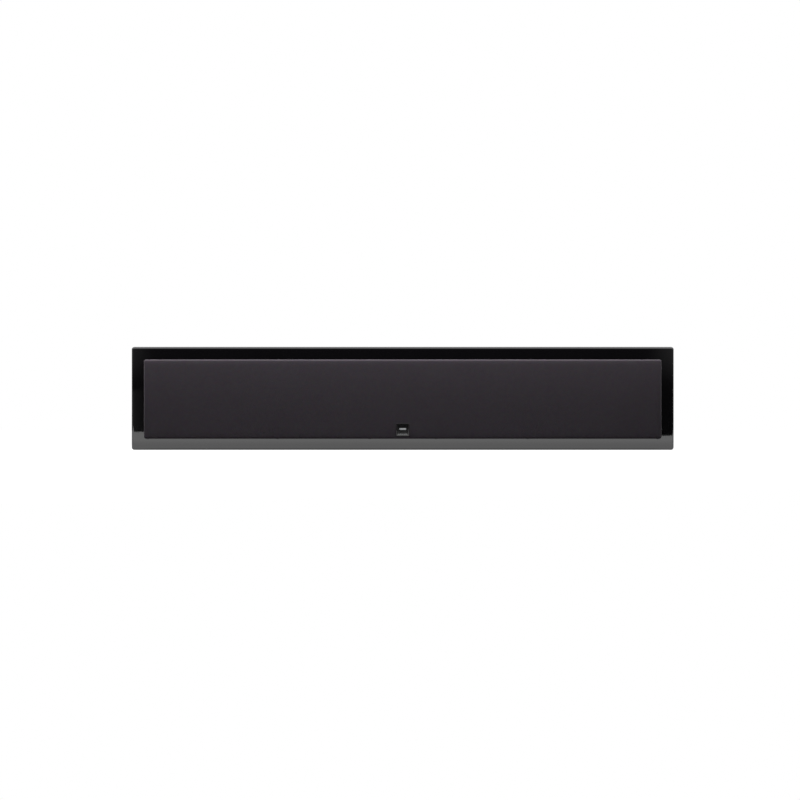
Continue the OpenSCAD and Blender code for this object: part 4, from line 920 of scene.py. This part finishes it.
def binding_post(colour, x):
    """Turned post: bored for a plug, cross-drilled for a wire, threaded before and behind its collar."""
    section = [(0, 22), (2, 22), (2, 6.5), (2.6, 6.5), (2.85, 6.8), (2.85, 22.4), (3.2, 22.7), (3.2, 25.6),
               (5.8, 25.6), (6, 25.8), (6, 27.8), (5.8, 28), (2.85, 28), (2.85, 36.9), (2.5, 37.2), (0, 37.2)]
    drill_r, drill_length, drill_u = 1.2, 14, 24.2
    post = turned("post", section, x, POST_Z, loop=False, steps=64)
    bpy.ops.mesh.primitive_cylinder_add(vertices=32, radius=drill_r * MM, depth=drill_length * MM,
                                        location=(x * MM, -drill_u * MM, POST_Z * MM))
    drill = bpy.context.object
    modify(post, "BOOLEAN", object=drill, operation="DIFFERENCE", solver="EXACT")
    bpy.data.objects.remove(drill)
    close_up(post, "post", 30)
    piece = joined("binding_post_" + colour + "_threaded", post, thread(7, 22.4, x), thread(28.2, 36.8, x))
    fit(piece, "root", "gold_brass", "binding_post_" + colour)


def leg(end, level, z, way_out, bends):
    """A bare wire out of a part's end, bent down into the board at each (reach, drop)."""
    into = PARTS_U - 1.4
    stops = [(-1, 0), *bends]
    points = [(end + reach * way_out, drop - level, z) for reach, drop in stops]
    return wire("leg", [Vector(p) for p in (*points, (points[-1][0], -into, z))], LEG_R)


def crossover_parts():
    """Air-core coils wound in even turns, film capacitors and cement resistors, their legs in the board."""
    coils = []
    turns, steps, first, height = 12, 5, 0.7, 12.6
    wound = [(15.4 + 0.5 * abs(math.sin(math.pi * i / steps)), first + height * i / (turns * steps))
             for i in range(turns * steps + 1)]
    for x, z in ((-278, 9), (-245, 19), (-212, 9)):
        section = [(8, 0.3), (8.3, 0), (15.2, 0), *wound, (15.2, 14), (8.3, 14), (8, 13.7)]
        coils.append(turned("coil", [(r, u + PARTS_U) for r, u in section], x, z, steps=72, angle=30))
    fit(joined("chokes_wound", *coils), "root", "copper_wire", "chokes")

    rolls, legs = [], []
    radius, length, x = 6.5, 30, -262
    level = PARTS_U + radius
    for z in (-27.5, -14.5):
        bpy.ops.object.select_all(action="DESELECT")
        bpy.ops.mesh.primitive_cylinder_add(vertices=64, radius=radius * MM, depth=length * MM,
                                            rotation=(0, math.pi / 2, 0),
                                            location=(x * MM, -level * MM, z * MM))
        roll = bpy.context.object
        bpy.ops.object.transform_apply()
        bpy.ops.object.mode_set(mode="EDIT")
        pick(roll, "FACE", runs_wide)
        for wall, rise in ((0.8, 0), (0.5, -0.6), (3.5, 0.4)):
            step_in(wall, rise, each=True)
        axis = Vector((x, -level, z)) * MM
        pick(roll, "EDGE", lambda middle, way: abs(way.x) < 0.1
             and abs(abs(middle.x - axis.x) - length / 2 * MM) < 1e-6
             and math.hypot(middle.y - axis.y, middle.z - axis.z) > (radius - 0.2) * MM)
        round_off(0.5, 3)
        bpy.ops.object.mode_set(mode="OBJECT")
        rolls.append(close_up(roll, "roll", 30))
        legs += [leg(x + length / 2 * way_out, level, z, way_out, ((1.6, 0), (2.6, 0.4), (3, 1.4)))
                 for way_out in (-1, 1)]
    fit(joined("capacitors_wrapped", *rolls), "root", "film_capacitor", "capacitors")

    blocks = []
    length, thick, x = 22, 9, -230
    level = PARTS_U + thick / 2
    for z in (-29, -16):
        block = add_block(length, thick, thick, x, level, z)
        pick(block, "EDGE", runs_wide)
        round_off(1.2, 4)
        pick(block, "FACE", runs_wide)
        step_in(0.7, 0)
        step_in(0.2, -0.4)
        bpy.ops.object.mode_set(mode="OBJECT")
        blocks.append(close_up(block, "block", 30))
        legs += [leg(x + length / 2 * way_out, level, z, way_out, ((0.8, 0), (1.6, 0.6), (1.8, 1.4)))
                 for way_out in (-1, 1)]
    fit(joined("resistors_potted", *blocks), "root", "cement", "resistors")
    fit(joined("crossover_legs", *legs), "root", "zinc_steel")


for colour, x in POST_XS.items():
    binding_post(colour, x)
crossover_parts()

# World: white to the camera, a studio in reflections, and a faint even light on everything
world = bpy.data.worlds.new("studio")
scene.world = world
world.use_nodes = True
sky = world.node_tree
way = put(sky, "SeparateXYZ", Vector=put(sky, "TexCoord").outputs["Generated"]).outputs
rays = put(sky, "LightPath").outputs
out = put(sky, "Math", {"operation": "ABSOLUTE"}, i0=way["X"]).outputs[0]
soft = {"interpolation_type": "SMOOTHSTEP"}
# The studio is dark in front and grey behind, under a pale ceiling, with faint glows to the left and right
ceiling = put(sky, "MapRange", soft, Value=way["Z"], From_Min=0.2, From_Max=0.8, To_Min=0.012, To_Max=1.2)
behind = put(sky, "MapRange", soft, Value=way["Y"], From_Min=-0.6, From_Max=0.6, To_Min=0.0, To_Max=0.25)
ends = put(sky, "MapRange", soft, Value=out, From_Min=0.098, From_Max=0.113, To_Min=0.0, To_Max=0.11)
high = put(sky, "MapRange", soft, Value=way["Z"], From_Min=0.004, From_Max=0.02)
left = put(sky, "MapRange", soft, Value=way["X"], From_Min=-0.1, From_Max=-0.113, To_Min=0.0, To_Max=0.1)
low = put(sky, "MapRange", Value=way["Z"], From_Min=0.0045, From_Max=0.0035)
ends = put(sky, "Math", {"operation": "MULTIPLY"}, i0=ends.outputs[0], i1=high.outputs[0])
left = put(sky, "Math", {"operation": "MULTIPLY"}, i0=left.outputs[0], i1=low.outputs[0])
mirrored = ceiling
for glow in (behind, ends, left):
    mirrored = put(sky, "Math", {"operation": "ADD"}, i0=mirrored.outputs[0], i1=glow.outputs[0])
seen = put(sky, "Mix", i0=rays["Is Glossy Ray"], i2=0.06, i3=mirrored.outputs[0])
seen = put(sky, "Mix", i0=rays["Is Camera Ray"], i2=seen.outputs[0], i3=1.0)
put(sky, sky.nodes["Background"], Color="#ffffff", Strength=seen.outputs[0])

# Floor: pale, its near edge cut at a slant, where the photograph's lacquer shows it end
FLOOR = ((-3.0, 2.6), (3.0, 2.6), (3.0, -0.66), (0.654, -1.76), (-0.734, -2.45), (-3.0, -3.6))
bpy.ops.object.select_all(action="DESELECT")
bpy.ops.mesh.primitive_circle_add(vertices=len(FLOOR), fill_type="NGON", location=(0, 0, 0))
floor = bpy.context.object
for vertex, (x, y) in zip(floor.data.vertices, FLOOR):
    vertex.co = (x, y, -CABINET_H / 2 * MM)
select_all_in_edit()
bpy.ops.mesh.normals_make_consistent(inside=False)
bpy.ops.object.mode_set(mode="OBJECT")
floor.name = floor.data.name = "floor"
card, tree, shader, place = finish("matt_card", Base_Color="#6c6c6e", Roughness=0.9, Specular_IOR_Level=0.1)
rays = put(tree, "LightPath").outputs
fibre = put(tree, "TexNoise", Vector=place, Scale=1 / 0.002, Detail=2.0)
tone = put(tree, "MixRGB", Fac=fibre.outputs["Fac"], Color1="#68686a", Color2="#707072")
forward = put(tree, "SeparateXYZ", Vector=place).outputs["Y"]
# Painted reflection: to glossy rays the floor glows, dimmer towards the cabinet as a painted shadow of it
painted_floor_reflection = put(tree, "MapRange", Value=forward, From_Min=-0.15, From_Max=-1.1, To_Min=0.72, To_Max=1.15)
glow = put(tree, "Mix", i0=rays["Is Glossy Ray"], i2=0.0, i3=painted_floor_reflection.outputs[0])
glow = put(tree, "Mix", i0=rays["Is Camera Ray"], i2=glow.outputs[0], i3=0.985)
put(tree, shader, Base_Color=tone.outputs[0], Emission_Color="#ffffff", Emission_Strength=glow.outputs[0])
floor.data.materials.append(card)

# A long softbox just above the cabinet's front lights the grille from the top
softbox = bpy.data.objects.new("softbox", bpy.data.lights.new("softbox", "AREA"))
softbox.data.shape = "RECTANGLE"
softbox.data.size = 1.5
softbox.data.size_y = 0.12
softbox.data.energy = 6.6
softbox.location = (-0.12, -0.126, 0.25)
softbox.visible_camera = False
softbox.visible_glossy = False
scene.collection.objects.link(softbox)
